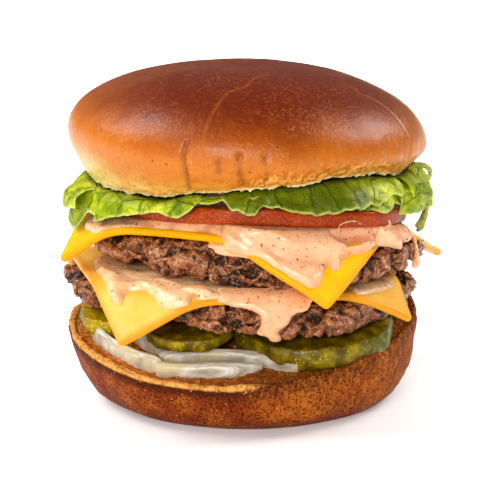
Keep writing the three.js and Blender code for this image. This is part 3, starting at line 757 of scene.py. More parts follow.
# %% [markdown]
# ## The patties
# A seared patty is loose mince pressed together: lumps of a few millimetres with crevices between them,
# which catch the light because they are wet with fat. The solid gives the patty's size, its torn edge and
# the places where cheese and pickle press on it. Its skin is drawn in, thousands of uneven lumps are set
# into it so that they reach just as far as the skin did, and all of it is fused into one surface.

# %% Grains scattered over a surface
FULL_TURN = (6.28, 6.28, 6.28)


def grains_tree(name, fineness, least, most, seeds, curve, sunk):
    """Uneven grains that are as thick on the ground as the surface's number "likely" says.

    Their proportions lie between least and most. A curve above 1 makes most of them small, and sunk is
    how far they sit in the surface, as a share of their radius.
    """
    tree, given, put = new_tree(
        name, ("Grains each m2", "Float", 1e5), ("Smallest", "Float", 0.001), ("Largest", "Float", 0.003),
        ("Seed", "Int", 0), ("Material", "Material", None),
    )
    likely = put("GeometryNodeInputNamedAttribute", {"Name": "likely"}, data_type="FLOAT")
    density = put("ShaderNodeMath", {0: likely, 1: given["Grains each m2"]}, operation="MULTIPLY")
    spots = add_node(
        tree, "GeometryNodeDistributePointsOnFaces",
        {"Mesh": given["Geometry"], "Density": density, "Seed": given["Seed"]},
    )
    share = put("FunctionNodeRandomValue", {"Seed": given["Seed"]}, 1, data_type="FLOAT")
    curved = put("ShaderNodeMath", {0: share, 1: curve}, operation="POWER")
    sizes = {"Value": curved, "To Min": given["Smallest"], "To Max": given["Largest"]}
    radius = put("ShaderNodeMapRange", sizes)
    deep = put("ShaderNodeMath", {0: radius, 1: -sunk}, operation="MULTIPLY")
    inward = put("ShaderNodeVectorMath", {0: spots.outputs["Normal"], "Scale": deep}, operation="SCALE")
    places = put("GeometryNodeSetPosition", {"Geometry": spots.outputs[0], "Offset": inward})
    ball = put("GeometryNodeMeshIcoSphere", {"Radius": 1.0, "Subdivisions": fineness})
    turned, uneven = (
        put("FunctionNodeRandomValue", {0: low, 1: high, "Seed": seed}, data_type="FLOAT_VECTOR")
        for low, high, seed in (((0, 0, 0), FULL_TURN, seeds[0]), (least, most, seeds[1]))
    )
    size = put("ShaderNodeVectorMath", {0: uneven, "Scale": radius}, operation="SCALE")
    inputs = {"Points": places, "Instance": ball, "Rotation": turned, "Scale": size}
    return end_tree(tree, put("GeometryNodeInstanceOnPoints", inputs), given["Material"])


def run_grains(name, tree, base, likely, each_m2, smallest, largest, seed, finish):
    store(base, "likely", likely)
    return run_tree(name, tree, base, {
        "Grains each m2": each_m2, "Smallest": smallest * MM, "Largest": largest * MM, "Seed": seed,
        "Material": finish,
    })


MINCE = grains_tree("mince", 2, (0.62, 0.7, 0.66), (1, 1.16, 1), seeds=(7, 9), curve=1.8, sunk=0.86)


# %% Meat finish
def meat_finish():
    meat = Finish("seared_mince", roughness=0.42, coat=(0, 0.14), beneath=(0.06, 0.002, (1, 0.2, 0.1)))
    hollow = meat.stored("hollow")
    patches = meat.mix(
        meat.band(meat.noise(7, 4), 0.4, 0.62),
        meat.ramp(meat.noise(1.5, 4), (0.3, "7c3f1d"), (0.5, "ba7040"), (0.68, "e6b078")),
        meat.ramp(meat.noise(1.8, 4), (0.3, "582a10"), (0.52, "985428"), (0.7, "ca8650")),
    )
    seared = meat.mix(meat.band(meat.noise(12, 3), 0.6, 0.68), patches, "452312")
    # The crevices between the lumps are darkened almost to black, a painted shade.
    creviced = meat.mix(meat.band(hollow, 0.0, 0.45, 0, 0.9), seared, "1c0904")
    fine = meat.noise(0.6, 3)
    speckled = meat.mix(meat.band(fine, 0.5, 0.66, 0, 0.7), creviced, "341608")
    speckled = meat.mix(meat.band(fine, 0.44, 0.3, 0, 0.7), speckled, "e2b48a")
    fat = meat.band(meat.cells(3.3), 0.16, 0.06)
    whole = meat.mix(meat.times(fat, 0.5), speckled, "d0aa86")
    greasy = meat.band(meat.noise(1.3, 3), 0.42, 0.62, 0.2, 0.6)
    wet = meat.sums("MAXIMUM", greasy, meat.band(hollow, 0.1, 0.5, 0, 0.7))
    rough = meat.sums("ADD", meat.noise(0.8, 5), meat.noise(1.9, 3))
    height = meat.sums("SUBTRACT", rough, meat.times(fine, 0.8))
    fatty = meat.band(hollow, 0.06, -0.14, 0, 0.75)
    meat.tree.links.new(fatty, meat.shader.inputs["Coat Weight"])
    meat.tree.links.new(meat.bump(meat.noise(1.4, 2), 0.6, 1.0), meat.shader.inputs["Coat Normal"])
    return meat.wear(whole, wet, meat.bump(height, 0.8, 1.0))


MEAT = meat_finish()

# %% [markdown]
# The crevices are found by comparing each point with the average of the skin around it: a point that lies
# deeper than its surroundings is in a hollow. The number is stored for the material, which darkens the
# crevices there: a painted shade.

# %% How deep each point lies in a hollow
def hollows(thing, rounds=10):
    """Distance in millimetres that each point lies below the smoothed skin round it."""
    points = points_of(thing)
    ends = np.empty(len(thing.data.edges) * 2, dtype=np.int64)
    thing.data.edges.foreach_get("vertices", ends)
    ends = ends.reshape(-1, 2)
    count = np.bincount(ends.ravel(), minlength=len(points))[:, None]
    soft = points.copy()
    for _ in range(rounds):
        total = np.zeros_like(soft)
        for axis in range(3):
            total[:, axis] += np.bincount(ends[:, 0], soft[ends[:, 1], axis], len(points))
            total[:, axis] += np.bincount(ends[:, 1], soft[ends[:, 0], axis], len(points))
        soft = 0.5 * soft + 0.5 * total / np.maximum(count, 1)
    return ((soft - points) * normals_of(thing)).sum(axis=1)


# %% [markdown]
# Lumps on the rim are allowed a little past the solid's skin and then held back. Where a slice of cheese
# bends down over the rim, the lumps stay under it: a line from each point towards the middle and down
# meets the slice only if the point has passed through it.

# %% Keeping lumps in place
ROOM = 0.3
FARTHEST_LUMP = 7
HELD_BACK = 0.75


def surface_of(thing):
    faces = [list(face.vertices) for face in thing.data.polygons]
    return BVHTree.FromPolygons(points_of(thing).tolist(), faces)


def hold_back(points, limit):
    for i, place in enumerate(points):
        nearest, normal, _, _ = limit.find_nearest(place)
        beyond = (Vector(place) - nearest).dot(normal) - ROOM
        if beyond > 0:
            points[i] -= HELD_BACK * beyond * np.array(normal)


def keep_under(points, node):
    """Points that pass through the slice above are drawn back under it."""
    cover = cad_copy(node)
    surface = surface_of(cover)
    for i, place in enumerate(points):
        out = Vector((place[0], place[1], np.hypot(place[0], place[1]))).normalized()
        struck, normal, _, _ = surface.ray_cast(place, -out, FARTHEST_LUMP)
        if struck is not None and normal.dot(out) > 0:
            struck = surface.ray_cast(struck - 0.01 * out, -out, FARTHEST_LUMP)[0]
        if struck is not None:
            points[i] = struck - ROOM * out
    discard(cover)


# %% The two patties
SKIN_DRAWN_IN = 2
MINCE_VOXEL = 0.62
PRESS_WAY = np.array((-0.75, 0.3, -0.6))


def make_patty(name, node, cover, seed, ends, pressed=()):
    """Ends are how far the right and the left end move left. A press is a middle, a radius and a depth."""
    skin_copy = cad_copy(node)
    limit = surface_of(skin_copy)
    everywhere = np.ones(len(skin_copy.data.vertices))
    lumps = run_grains(name + "_lumps", MINCE, skin_copy, everywhere, 1.25e5, 0.9, 3.8, seed, MEAT)
    push_out(skin_copy, -SKIN_DRAWN_IN)
    patty = fused(name, [skin_copy, lumps], MINCE_VOXEL, smooth=1)
    place = points_of(patty)
    large, small = (np.exp(-((grain(place, size, seed + more) / width) ** 2))
                    for size, more, width in ((9.5, 20, 0.14), (4.5, 30, 0.12)))
    rough = 0.3 * layered(place, 2.2, seed) + 0.12 * grain(place, 1.3, seed + 50)
    push_out(patty, rough - 0.1 - 1.7 * (large + 0.45 * small) + 0.8 * grain(place, 10, seed + 40))
    held = points_of(patty)
    hold_back(held, limit)
    held[:, 0] -= ends[0] * step_up(42, 58, held[:, 0]) + ends[1] * step_up(-40, -54, held[:, 0])
    for middle, radius, depth in pressed:
        near = np.exp(-((np.linalg.norm(held - middle, axis=1) / radius) ** 2))
        held += near[:, None] * depth * PRESS_WAY
    keep_under(held, cover)
    place_points(patty, held)
    store(patty, "hollow", hollows(patty))
    dress(patty, MEAT, node)


make_patty("patty_low", "patty_lower", "cheese_lower", 3, ends=(0, 1.8))
PRESSED_BY_LEAF = [((51, -13, 52), 7, 2.8)]
make_patty("patty_high", "patty_upper", "cheese_upper", 8, ends=(1.4, 1.96), pressed=PRESSED_BY_LEAF)

# %% [markdown]
# ## The cheese
# Processed cheese comes as square slices, soft enough to fold where the patty ends. Each slice here is a
# grid laid flat, bent down at its four corners over a rounded fold, turned, and set on its patty. The
# corners are rounded by squeezing the grid's corner squares into quarter circles, and the edge is a half
# round. The lower slice is the paler one. Its folded corners catch the light.

# %% The two slices and their folds
CHEESE_THICKNESS = 2.5
CHEESE_BEND = 12
CHEESE_SAG = 0.006
CORNER_RADIUS = 1.7
EDGE_RADIUS = 1.1
FLAT_OF_PATTY = 38


def lean(x, y):
    return 0.043 * x + 0.06 * (y + 50) - 0.03 * (np.hypot(y, 20) - np.hypot(50, 20))


# Each corner is an azimuth, how far out its fold starts, and the angle of the fold.
LOWER_CHEESE = {
    "half": 47, "x": -7.2, "y": -4.2, "turn": 15.5, "height": lambda x, y: 42.3 - 0.04 * x,
    "corners": [(225, 43, 46), (315, 48, 35), (45, 45, 46), (135, 41, 66)],
}
UPPER_CHEESE = {
    "half": 47.75, "x": 1.7, "y": -3, "turn": -25.4, "height": lambda x, y: 59.3 - lean(x, y),
    "corners": [(225, 46, 46.5), (315, 38.6, 45.5), (45, 37.3, 24), (135, 45, 44)],
}


def fold(length, radius, angle):
    """How far a strip reaches out and down when it bends to an angle and goes on straight."""
    bent = np.maximum(length, 0)
    turn = np.minimum(bent / radius, angle)
    straight = bent - turn * radius
    out = np.minimum(length, 0) + radius * np.sin(turn) + straight * np.cos(turn)
    return out, radius * (1 - np.cos(turn)) + straight * np.sin(turn), turn


def cheese_place(cheese, a, b, offset):
    """Points at (a, b) on a slice, and an offset above its middle."""
    place = np.stack([a, b, 0 * a], axis=-1)
    normal = np.zeros_like(place)
    normal[..., 2] = 1
    for azimuth, start, angle in cheese["corners"]:
        way = np.array([np.cos(np.radians(azimuth)), np.sin(np.radians(azimuth)), 0])
        past = a * way[0] + b * way[1] - start
        out, down, turn = fold(past, CHEESE_BEND, np.radians(angle))
        folded = (past > 0)[..., None]
        place = np.where(folded, place + (out - past)[..., None] * way - down[..., None] * (0, 0, 1), place)
        tilted = np.sin(turn)[..., None] * way + np.cos(turn)[..., None] * np.array([0, 0, 1])
        normal = np.where(folded, tilted, normal)
    place = place + normal * np.asarray(offset)[..., None]
    cos, sin = np.cos(np.radians(cheese["turn"])), np.sin(np.radians(cheese["turn"]))
    x = place[..., 0] * cos - place[..., 1] * sin + cheese["x"]
    y = place[..., 0] * sin + place[..., 1] * cos + cheese["y"]
    past = np.clip(np.hypot(x, y) - FLAT_OF_PATTY, 0, 14)
    return np.stack([x, y, place[..., 2] + cheese["height"](x, y) - CHEESE_SAG * past**2], axis=-1)


# %% Making a slice
def make_cheese(name, node, cheese, seed, finish):
    half, corner = cheese["half"], CORNER_RADIUS
    inward = np.array([0, 0.05, 0.16, 0.34, 0.58, 0.9, 1.25, 1.7, 2.4, 3.2])
    line = np.concatenate([inward - half, np.linspace(4.2 - half, half - 4.2, 92), (half - inward)[::-1]])
    a, b = np.meshgrid(line, line, indexing="ij")
    p, q = (np.clip(np.abs(side) - (half - corner), 0, corner) for side in (a, b))
    squeezed_p = p * np.sqrt(1 - q**2 / (2 * corner**2))
    squeezed_q = q * np.sqrt(1 - p**2 / (2 * corner**2))
    inner = np.minimum(half - np.abs(a), half - np.abs(b))
    from_rim = np.where((p > 0) & (q > 0), corner - np.hypot(squeezed_p, squeezed_q), inner)
    a = a - np.sign(a) * (p - squeezed_p)
    b = b - np.sign(b) * (q - squeezed_q)
    flat = np.stack([a, b, 0 * a], axis=-1)
    a = a + 0.4 * grain(flat, 13, seed)
    b = b + 0.4 * grain(flat, 13, seed + 1)
    off_edge = 1 - np.clip(from_rim / EDGE_RADIUS, 0, 1)
    thick = CHEESE_THICKNESS / 2 * np.sqrt(np.clip(1 - off_edge**2, 0, 1))
    swell = 0.3 * layered(flat, 17, seed + 2, 2) * step_up(60, 44, np.hypot(a, b))
    top, bottom = (cheese_place(cheese, a, b, swell + side * thick) for side in (1, -1))
    made = sheet(name, top, bottom)
    rim = np.exp(-((from_rim / 1.5) ** 2)).ravel()
    tree = KDTree(len(rim) * 2)
    for i, place in enumerate(np.concatenate([top.reshape(-1, 3), bottom.reshape(-1, 3)])):
        tree.insert(place, i)
    tree.balance()
    store(made, "rim", [rim[tree.find(place)[1] % len(rim)] for place in points_of(made)])
    dress(made, finish, node)


# %% [markdown]
# Cheese is smooth and a little see-through, so light that enters its edge comes out again: the edges look
# deeper in colour. That deeper colour is painted along the rim, as painted light. The surface has faint
# greasy patches where the heat of the patty has softened it.

# %% Cheese finish
def cheese_finish(name, flat, deep, rim):
    beneath = (0.3, 0.004, (1, 0.45, 0.08))
    cheese = Finish(name, roughness=0.42, specular=0.2, coat=(0.05, 0.25), beneath=beneath)
    patches = cheese.band(cheese.noise(14, 3), 0.35, 0.68)
    base = cheese.mix(patches, flat, deep)
    specks = cheese.band(cheese.cells(2.2), 0.1, 0.05)
    speckled = cheese.mix(cheese.times(specks, 0.2), base, rim)
    # The rim is painted a deeper colour, painted light that stands for light coming out of the edge.
    edged = cheese.mix(cheese.times(cheese.stored("rim"), 0.85), speckled, rim)
    greasy = cheese.band(cheese.noise(9, 2), 0.4, 0.6, 0.3, 0.5)
    height = cheese.sums("ADD", cheese.noise(5, 3), cheese.times(cheese.noise(0.7, 3), 0.15))
    return cheese.wear(edged, greasy, cheese.bump(height, 0.25, 0.7))


PALE_CHEESE = cheese_finish("cheese_pale", "f7c45a", "f3b444", "de9414")
make_cheese("cheese_low", "cheese_lower", LOWER_CHEESE, 31, PALE_CHEESE)
YELLOW_CHEESE = cheese_finish("cheese_yellow", "ffca00", "fab800", "e69c00")
make_cheese("cheese_high", "cheese_upper", UPPER_CHEESE, 47, YELLOW_CHEESE)

# %% [markdown]
# ## Runs along a path
# A drip of sauce, a strip of onion and a curl of lettuce are all one thing to Geometry Nodes: a curve with
# a thickness at each place, swept by a flat or round profile. One tree makes them all.

# %% Sweeping a profile along a path
def sweep_tree():
    tree, given, put = new_tree(
        "sweep", ("Step", "Float", 0.0005), ("Width", "Float", 1.0), ("Height", "Float", 1.0),
        ("Sides", "Int", 16), ("Material", "Material", None),
    )
    curve = put("GeometryNodeMeshToCurve", {"Mesh": given["Geometry"]})
    smooth = put("GeometryNodeCurveSplineType", {"Curve": curve}, spline_type="CATMULL_ROM")
    even = put("GeometryNodeResampleCurve", {"Curve": smooth, "Length": given["Step"]}, mode="LENGTH")
    level = put("GeometryNodeSetCurveNormal", {"Curve": even}, mode="Z_UP")
    thickness = put("GeometryNodeInputNamedAttribute", {"Name": "thickness"}, data_type="FLOAT")
    round_one = {"Resolution": given["Sides"], "Radius": 1.0}
    circle = put("GeometryNodeCurvePrimitiveCircle", round_one, mode="RADIUS")
    oval = put("ShaderNodeCombineXYZ", {0: given["Height"], 1: given["Width"], 2: 1.0})
    profile = put("GeometryNodeTransform", {"Geometry": circle, "Scale": oval})
    inputs = {"Curve": level, "Profile Curve": profile, "Scale": thickness, "Fill Caps": True}
    return end_tree(tree, put("GeometryNodeCurveToMesh", inputs), given["Material"])


SWEEP = sweep_tree()


def run_along(name, places, thickness, width=1.0, height=1.0, step=0.5, sides=16, finish=None):
    """A closed run along places in millimetres. Width and height stretch the profile."""
    mesh = bpy.data.meshes.new(name + "_path")
    mesh.from_pydata((np.array(places) * MM).tolist(), [(i, i + 1) for i in range(len(places) - 1)], [])
    path = finish_object(name + "_path", mesh)
    store(path, "thickness", np.array(thickness) * MM)
    made = run_tree(name, SWEEP, path, {
        "Step": step * MM, "Width": float(width), "Height": float(height), "Sides": sides,
        "Material": finish,
    })
    discard(path)
    build = bmesh.new()
    build.from_mesh(made.data)
    bmesh.ops.remove_doubles(build, verts=build.verts, dist=1e-7)
    bmesh.ops.recalc_face_normals(build, faces=build.faces)
    build.to_mesh(made.data)
    build.free()
    made.data.shade_smooth()
    return made


# %% [markdown]
# ## The sauce
# The sauce is a thick pink dressing with flecks of spice. It lies on the cheese like a puddle with a round
# rim, its outline wanders, and where it passes the edge of a slice it wraps round the edge and hangs.
# Each puddle is a height over its slice: how far a place is from the outline says how thick the sauce
# is there. Outside the outline the height is inside the cheese, so the sauce meets the cheese cleanly.

# %% Places on a slice that may pass its edge
def sauce_place(cheese, a, b, lift):
    """Points on the top of a slice that fold round its half round edge when they pass it."""
    core = cheese["half"] - CHEESE_THICKNESS / 2
    past = np.maximum(np.abs(a), np.abs(b)) - core
    above = CHEESE_THICKNESS / 2 + lift
    turn = np.minimum(np.maximum(past, 0) / (CHEESE_THICKNESS / 2 + 0.3), np.radians(95))
    straight = np.maximum(past, 0) - turn * (CHEESE_THICKNESS / 2 + 0.3)
    out = core + above * np.sin(turn) + straight * np.cos(turn)
    along_a = (past > 0) & (np.abs(a) >= np.abs(b))
    along_b = (past > 0) & ~along_a
    a = np.where(along_a, np.sign(a) * out, a)
    b = np.where(along_b, np.sign(b) * out, b)
    return cheese_place(cheese, a, b, above * np.cos(turn) - straight * np.sin(turn))


def inside_by(outline, a, b):
    """Distance from points to an outline, positive inside it."""
    corners = np.array(outline, dtype=float)
    nearest = np.full(a.shape, np.inf)
    inside = np.zeros(a.shape, dtype=bool)
    for (x0, y0), (x1, y1) in zip(corners, np.roll(corners, -1, axis=0)):
        dx, dy = x1 - x0, y1 - y0
        share = np.clip(((a - x0) * dx + (b - y0) * dy) / (dx * dx + dy * dy), 0, 1)
        nearest = np.minimum(nearest, np.hypot(a - x0 - share * dx, b - y0 - share * dy))
        crosses = ((y0 > b) != (y1 > b)) & (a < x0 + (b - y0) / (dy if dy else 1e-9) * dx)
        inside ^= crosses
    return np.where(inside, nearest, -nearest)


def grid_over(outline, margin, step):
    """A grid of places over an outline, and the same places as points."""
    low, high = np.min(outline, axis=0) - margin, np.max(outline, axis=0) + margin
    a, b = np.meshgrid(np.arange(low[0], high[0], step), np.arange(low[1], high[1], step), indexing="ij")
    return a, b, np.stack([a, b, 0 * a], axis=-1)


def whole_cells(kept):
    """The cells of a grid that have all four corners kept."""
    return kept[:-1, :-1] & kept[1:, :-1] & kept[:-1, 1:] & kept[1:, 1:]


# %% The tomato that presses on the upper sauce
TOMATO_X, TOMATO_Y, TOMATO_LONG, TOMATO_DEEP = 4.2, -15, 43.6, 36.5


def tomato_wobble(angle):
    return 1 + 0.012 * waver(angle, 2, (3, 5, 7))


def tomato_base(x, y):
    return 63.1 - 0.0011 * (x + 8) ** 2 - 0.05 * (y + 50)


def within_tomato(x, y):
    """How far a place is inside the tomato's rim, in millimetres."""
    p, q = (x - TOMATO_X) / TOMATO_LONG, (y - TOMATO_Y) / TOMATO_DEEP
    return (1 - np.hypot(p, q) / tomato_wobble(np.arctan2(q, p))) * 38


# %% A puddle on a slice
SAUCE_RIM = 1.5
SAUCE_UNDERSIDE = -1.1


def puddle(name, cheese, outline, thickness, bare=(), ridges=(), seed=0, pressed=False):
    a, b, flat = grid_over(outline, 1.5, 0.5)
    wandering = a + 0.35 * grain(flat, 2.6, seed), b + 0.35 * grain(flat, 2.6, seed + 1)
    inside = inside_by(outline, *wandering)
    for hole in bare:
        inside = np.minimum(inside, -inside_by(hole, *wandering))
    thick = thickness(a, b) * (1 + 0.25 * layered(flat, 9, seed + 2, 2))
    rim = np.clip(inside / SAUCE_RIM, 0, 1)
    lift = thick * np.sqrt(1 - (1 - rim) ** 2)
    lift += 0.2 * grain(flat, 3.2, seed + 3) * rim
    for line, height, width in ridges:
        places = np.array([(*place, 0) for place in line], dtype=float)
        near = along_line(flat.reshape(-1, 3), places).reshape(a.shape)
        lift += height * np.exp(-((near / width) ** 2)) * rim
    if pressed:
        x, y, z = np.moveaxis(sauce_place(cheese, a, b, 0 * a), -1, 0)
        filled = np.clip(tomato_base(x, y) - z + 0.35, 0, 6)
        below = step_up(-2.6, 0.6, within_tomato(x, y) + 0.5 * grain(flat, 5, seed + 9))
        lift += np.maximum(filled - lift, 0) * below * rim
    lift = np.where(inside > 0, lift, np.maximum(inside * 1.2, -0.6))
    top, bottom = sauce_place(cheese, a, b, lift), sauce_place(cheese, a, b, SAUCE_UNDERSIDE + 0 * a)
    return sheet(name, top, bottom, whole_cells(inside > -0.8))


# %% Sauce finish
def sauce_finish(name, pale, full):
    sauce = Finish(name, roughness=0.3, coat=(0.26, 0.2), beneath=(0.3, 0.003, (1, 0.5, 0.3)))
    base = sauce.mix(sauce.band(sauce.noise(6, 3), 0.35, 0.65), pale, full)
    drawn = sauce.scaled(sauce.place, 0.2, 1, 1)
    streaks = sauce.band(sauce.noise(2.4, 3, place=drawn), 0.42, 0.62, 0.15, 0.75)
    base = sauce.mix(sauce.times(sauce.stored("thin"), streaks), base, "c07e4a")
    for size, edge, patch, code in ((1.9, (0.24, 0.13), 7, "cc6018"), (3.1, (0.15, 0.1), 5, "742c10")):
        flecks = sauce.band(sauce.cells(size), *edge)
        patchy = sauce.band(sauce.noise(patch, 2), 0.4, 0.6, 0.3, 0.9)
        base = sauce.mix(sauce.times(flecks, patchy), base, code)
    height = sauce.sums("ADD", sauce.noise(2.2, 3), sauce.times(sauce.noise(0.6, 3), 0.2))
    gloss = sauce.band(sauce.noise(3, 2), 0.35, 0.65, 0.24, 0.42)
    return sauce.wear(base, gloss, sauce.bump(height, 0.3, 0.8))


SAUCE = sauce_finish("pink_sauce", "f2bc92", "eaac80")
# The lower sauce is paler, partly a thinner dressing and partly painted light that lifts the shade under the
# upper patty.
PALE_SAUCE = sauce_finish("pale_lit_sauce", "fad0a4", "f3be8c")


# %% Parts that flow together
SAUCE_VOXEL = 0.42


def wet(name, parts, node, finish):
    """Several parts of sauce flow together into one piece. It is thin, so streaked, where it reaches high."""
    made = fused(name, parts, SAUCE_VOXEL, smooth=3)
    x, _, z = points_of(made).T
    store(made, "thin", step_up(58.6, 60.4, z) * step_up(4, -8, x) * step_up(-36, -28, x))
    dress(made, finish, node)
    return made


# %% The lower puddle
LOWER_OUTLINE = [
    (-36, 6), (-42, 0), (-43.2, -5), (-44, -12.5), (-43.3, -18), (-43, -23.5), (-43, -28), (-43.2, -32),
    (-42, -34.2), (-40, -33.8), (-38.8, -32.2), (-37, -31.5), (-34.5, -32.3), (-32.8, -34.5), (-31.5, -38),
    (-31, -41.5), (-29.5, -44.2), (-27, -46), (-25.2, -46.8), (-23.5, -46.6), (-22.5, -45), (-21.5, -43),
    (-19.8, -42.2), (-20.5, -45.5), (-19.5, -46.8), (-17, -46.8), (-13, -47.1), (-9.5, -47.6), (-6, -49.3),
    (-4, -51), (6, -51), (9.5, -48.6), (11, -48.6), (13, -49.6), (15.5, -48.5), (17, -44), (21, -39),
    (25, -41), (27.5, -46.2), (32.5, -42.8), (38, -38.6), (42.5, -34.4), (43.5, -31), (36, -25),
    (25, -18), (14, 0),
    (14, 14), (0, 28), (-24, 24),
]


def lower_thickness(a, b):
    thick = 1.25 + 0.5 * np.exp(-(((a + 41) / 5) ** 2 + ((b + 26) / 7) ** 2))
    thick += 0.35 * np.exp(-(((a + 25) / 6) ** 2 + ((b + 42) / 5) ** 2))
    return thick - 0.75 * step_up(17, 24, a) + 0.2 * step_up(-14, -4, a)


lower_puddle = puddle(
    "lower_puddle", LOWER_CHEESE, LOWER_OUTLINE, lower_thickness, seed=61,
    ridges=[([(-41, -8), (-42, -15), (-40, -24), (-41.5, -31)], 0.5, 1.4),
            ([(-38, -29), (-34, -30), (-31, -33), (-29, -39), (-26, -44)], 0.45, 1.2),
            ([(-30, -30), (-24, -38), (-18, -41)], 0.4, 1.2), ([(-12, -45), (-6, -46), (0, -47)], 0.5, 1.3)],
)
BRIDGE = [(-19, -50.4, 44.4), (-16, -51.4, 44.3), (-13.4, -52.2, 44.1), (-11, -52.8, 43.6)]
bridge = run_along("bridge", BRIDGE, [1.2, 1.5, 1.5, 1.2], 0.7)
sauce_low = wet("sauce_low", [lower_puddle, bridge], "sauce_lower", PALE_SAUCE)

# %% [markdown]
# The drip spreads where it leaves the cheese and again where it lands on the pickle. It hangs in front of
# the meat like an apron: an outline seen from the front, a curve for how far forward the meat stands at
# each height, and the same round rim as a puddle.

# %% The apron of sauce
APRON = [
    (-9, 44.4), (-9.4, 41.6), (-5.5, 40.6), (-2.4, 40.2), (0.8, 39.6), (2.9, 38.4), (3.5, 36.8), (3.3, 34.4),
    (2.4, 32.4), (3.6, 32), (5, 31.6), (6, 30.4), (7.6, 30), (8.9, 30.6), (8.3, 31.8), (7.5, 32.9), (8, 33.7),
    (9.8, 34.8), (11, 36.2), (11.4, 37.6), (13.2, 38.7), (15.2, 39), (16.6, 39.8), (17, 41), (18.2, 42),
    (17.6, 43.2), (13.4, 44.6), (8, 44.2), (2, 44.6),
]
HOLE = [(5.4, 42.6), (6.6, 43), (7, 42.2), (5.8, 41.8)]
MEAT_HEIGHTS = (29, 31, 33.5, 36.5, 39, 41.5, 43, 45)
MEAT_FRONTS = (-54.6, -55.6, -56.2, -56.6, -56.2, -55, -53.4, -51)


def apron(name, outline, hole, thickness, seed):
    x, z, flat = grid_over(outline, 1.2, 0.4)
    inside = inside_by(outline, x + 0.25 * grain(flat, 2.2, seed), z + 0.25 * grain(flat, 2.2, seed + 1))
    inside = np.minimum(inside, 0.7 - inside_by(hole, x, z) * 2)
    front = np.interp(z, MEAT_HEIGHTS, MEAT_FRONTS) + 0.0075 * (x - 4) ** 2
    rim = np.clip(inside / 1.7, 0, 1)
    thick = thickness * (1 + 0.25 * layered(flat, 6, seed + 2, 2)) * np.sqrt(1 - (1 - rim) ** 2)
    thick = np.where(inside > 0, thick, inside)
    place = [np.stack([x, front + side, z], axis=-1) for side in (-thick, 1.6 + 0 * x)]
    return sheet(name, *place, whole_cells(inside > -0.6))


sauce_drip = wet("drip", [apron("drip_front", APRON, HOLE, 1.7, 91)], "sauce_drip", SAUCE)

# %% [markdown]
# The upper puddle is larger. It covers the cheese up to its rim, runs over the front edge on to the meat,
# and ends in a round tongue on the folded corner, with one small drip beside it. On the right it has
# run off the slice and left a thin film with holes on the patty.

# %% The upper puddle
UPPER_OUTLINE = [
    (-30, 2), (-35, -18), (-39.5, -31), (-40.2, -34.8), (-39.4, -37.4), (-37.6, -39.4), (-34.6, -42),
    (-32, -45.2), (-29, -46.6), (-24, -46.9), (-14.8, -46.9), (-7.8, -46.8), (-2.8, -46.6),
    (2.2, -46.4), (7, -46.2),
    (10.6, -46.4), (12.4, -48), (14, -50), (16.4, -50.6), (19, -49.4), (21.6, -47.8), (24.2, -46.8),
    (30.8, -46.4), (33.8, -46.2), (37.8, -46.2), (39.8, -45.6), (41.5, -44), (41.5, -41.2),
    (40.4, -38.2), (39.4, -35.4), (40, -34.3), (41.2, -35.2), (42.8, -34.8), (43.2, -32.8), (41.8, -30.2),
    (42.4, -27.8), (44.4, -24.6), (45.8, -22.4), (46.8, -19.4), (47.4, -16.6), (49.6, -14), (50.6, -10.5),
    (49.4, -8), (50.2, -5.5), (51, -2.5), (49.6, 1), (46, 3), (40, 10), (30, 26), (0, 34), (-22, 22),
]
BARE_CHEESE = [
    (37.2, -28.4), (39.4, -27.6), (41.4, -26.2), (43, -23.4), (44.6, -20.4), (46.2, -17.2),
    (45.6, -16.2), (43.6, -19), (40.4, -23.4),
]


def upper_thickness(a, b):
    tongue = np.exp(-(((a - 37) / 7) ** 2 + ((b + 41) / 7) ** 2))
    blob = np.exp(-(((a + 36) / 4) ** 2 + ((b + 40) / 4) ** 2))
    thin = np.exp(-(((a + 12) / 14) ** 2 + ((b + 47) / 4) ** 2))
    return 1.1 + 0.5 * tongue + 0.6 * blob - 0.5 * thin - 0.45 * step_up(42, 46, a)


upper_parts = [puddle(
    "upper_puddle", UPPER_CHEESE, UPPER_OUTLINE, upper_thickness, bare=[BARE_CHEESE], seed=83, pressed=True,
    ridges=[([(20, -46.4), (27, -45.6), (33, -45), (38, -44.4), (40.3, -42), (39.4, -38)], 0.35, 1.1),
            ([(-34, -38), (-25, -42), (-10, -43), (4, -44)], 0.3, 1.2),
            ([(38.4, -33), (41.6, -32.6)], 0.35, 0.9)],
)]
FILM = [
    ([(40.6, -35.2, 61.6), (41.2, -33, 59.4), (41.6, -31, 57.4), (41.4, -32.2, 55)], [0.6, 0.8, 0.8, 0.4]),
    ([(41.6, -31, 57.4), (44.4, -26, 56.2), (46.4, -21, 55.6), (48, -16, 54.8)], [0.6, 0.7, 0.7, 0.6]),
    ([(47, -15.4, 56), (49.4, -16, 53.4), (50.5, -18.4, 50.6), (50.6, -22, 48.2), (50.2, -24.6, 46.4),
      (49.6, -25.8, 45)], [0.7, 0.8, 0.7, 0.8, 1.3, 1]),
]
SPILL = [
    ([(-12, -46.6, 58), (-8, -48.2, 58), (-4, -49.4, 57.8), (0, -50, 57.4), (4, -50, 57)],
     [1, 1.7, 1.9, 2, 1.8]),
    ([(-12, -47.8, 56.6), (-8.6, -49.8, 56.6), (-4.6, -50.8, 56.4), (0, -51.4, 56), (4, -51.2, 55.6)],
     [0.9, 1.7, 2, 2, 1.7]),
    ([(-10.2, -50, 55.4), (-7, -51.2, 55.2), (-3, -51.8, 55), (1, -52.4, 54.6), (4, -52, 54.6)],
     [0.6, 1.4, 1.5, 1.7, 1.1]),
]
TOMATO_RING = [
    (25.4, -47, 60.8), (25.7, -46.9, 62.3), (27.4, -46.2, 63.1), (29.4, -45.3, 63.3), (31.4, -44.2, 62.7),
    (32.2, -43.8, 61.4), (30.8, -45, 60.4),
]
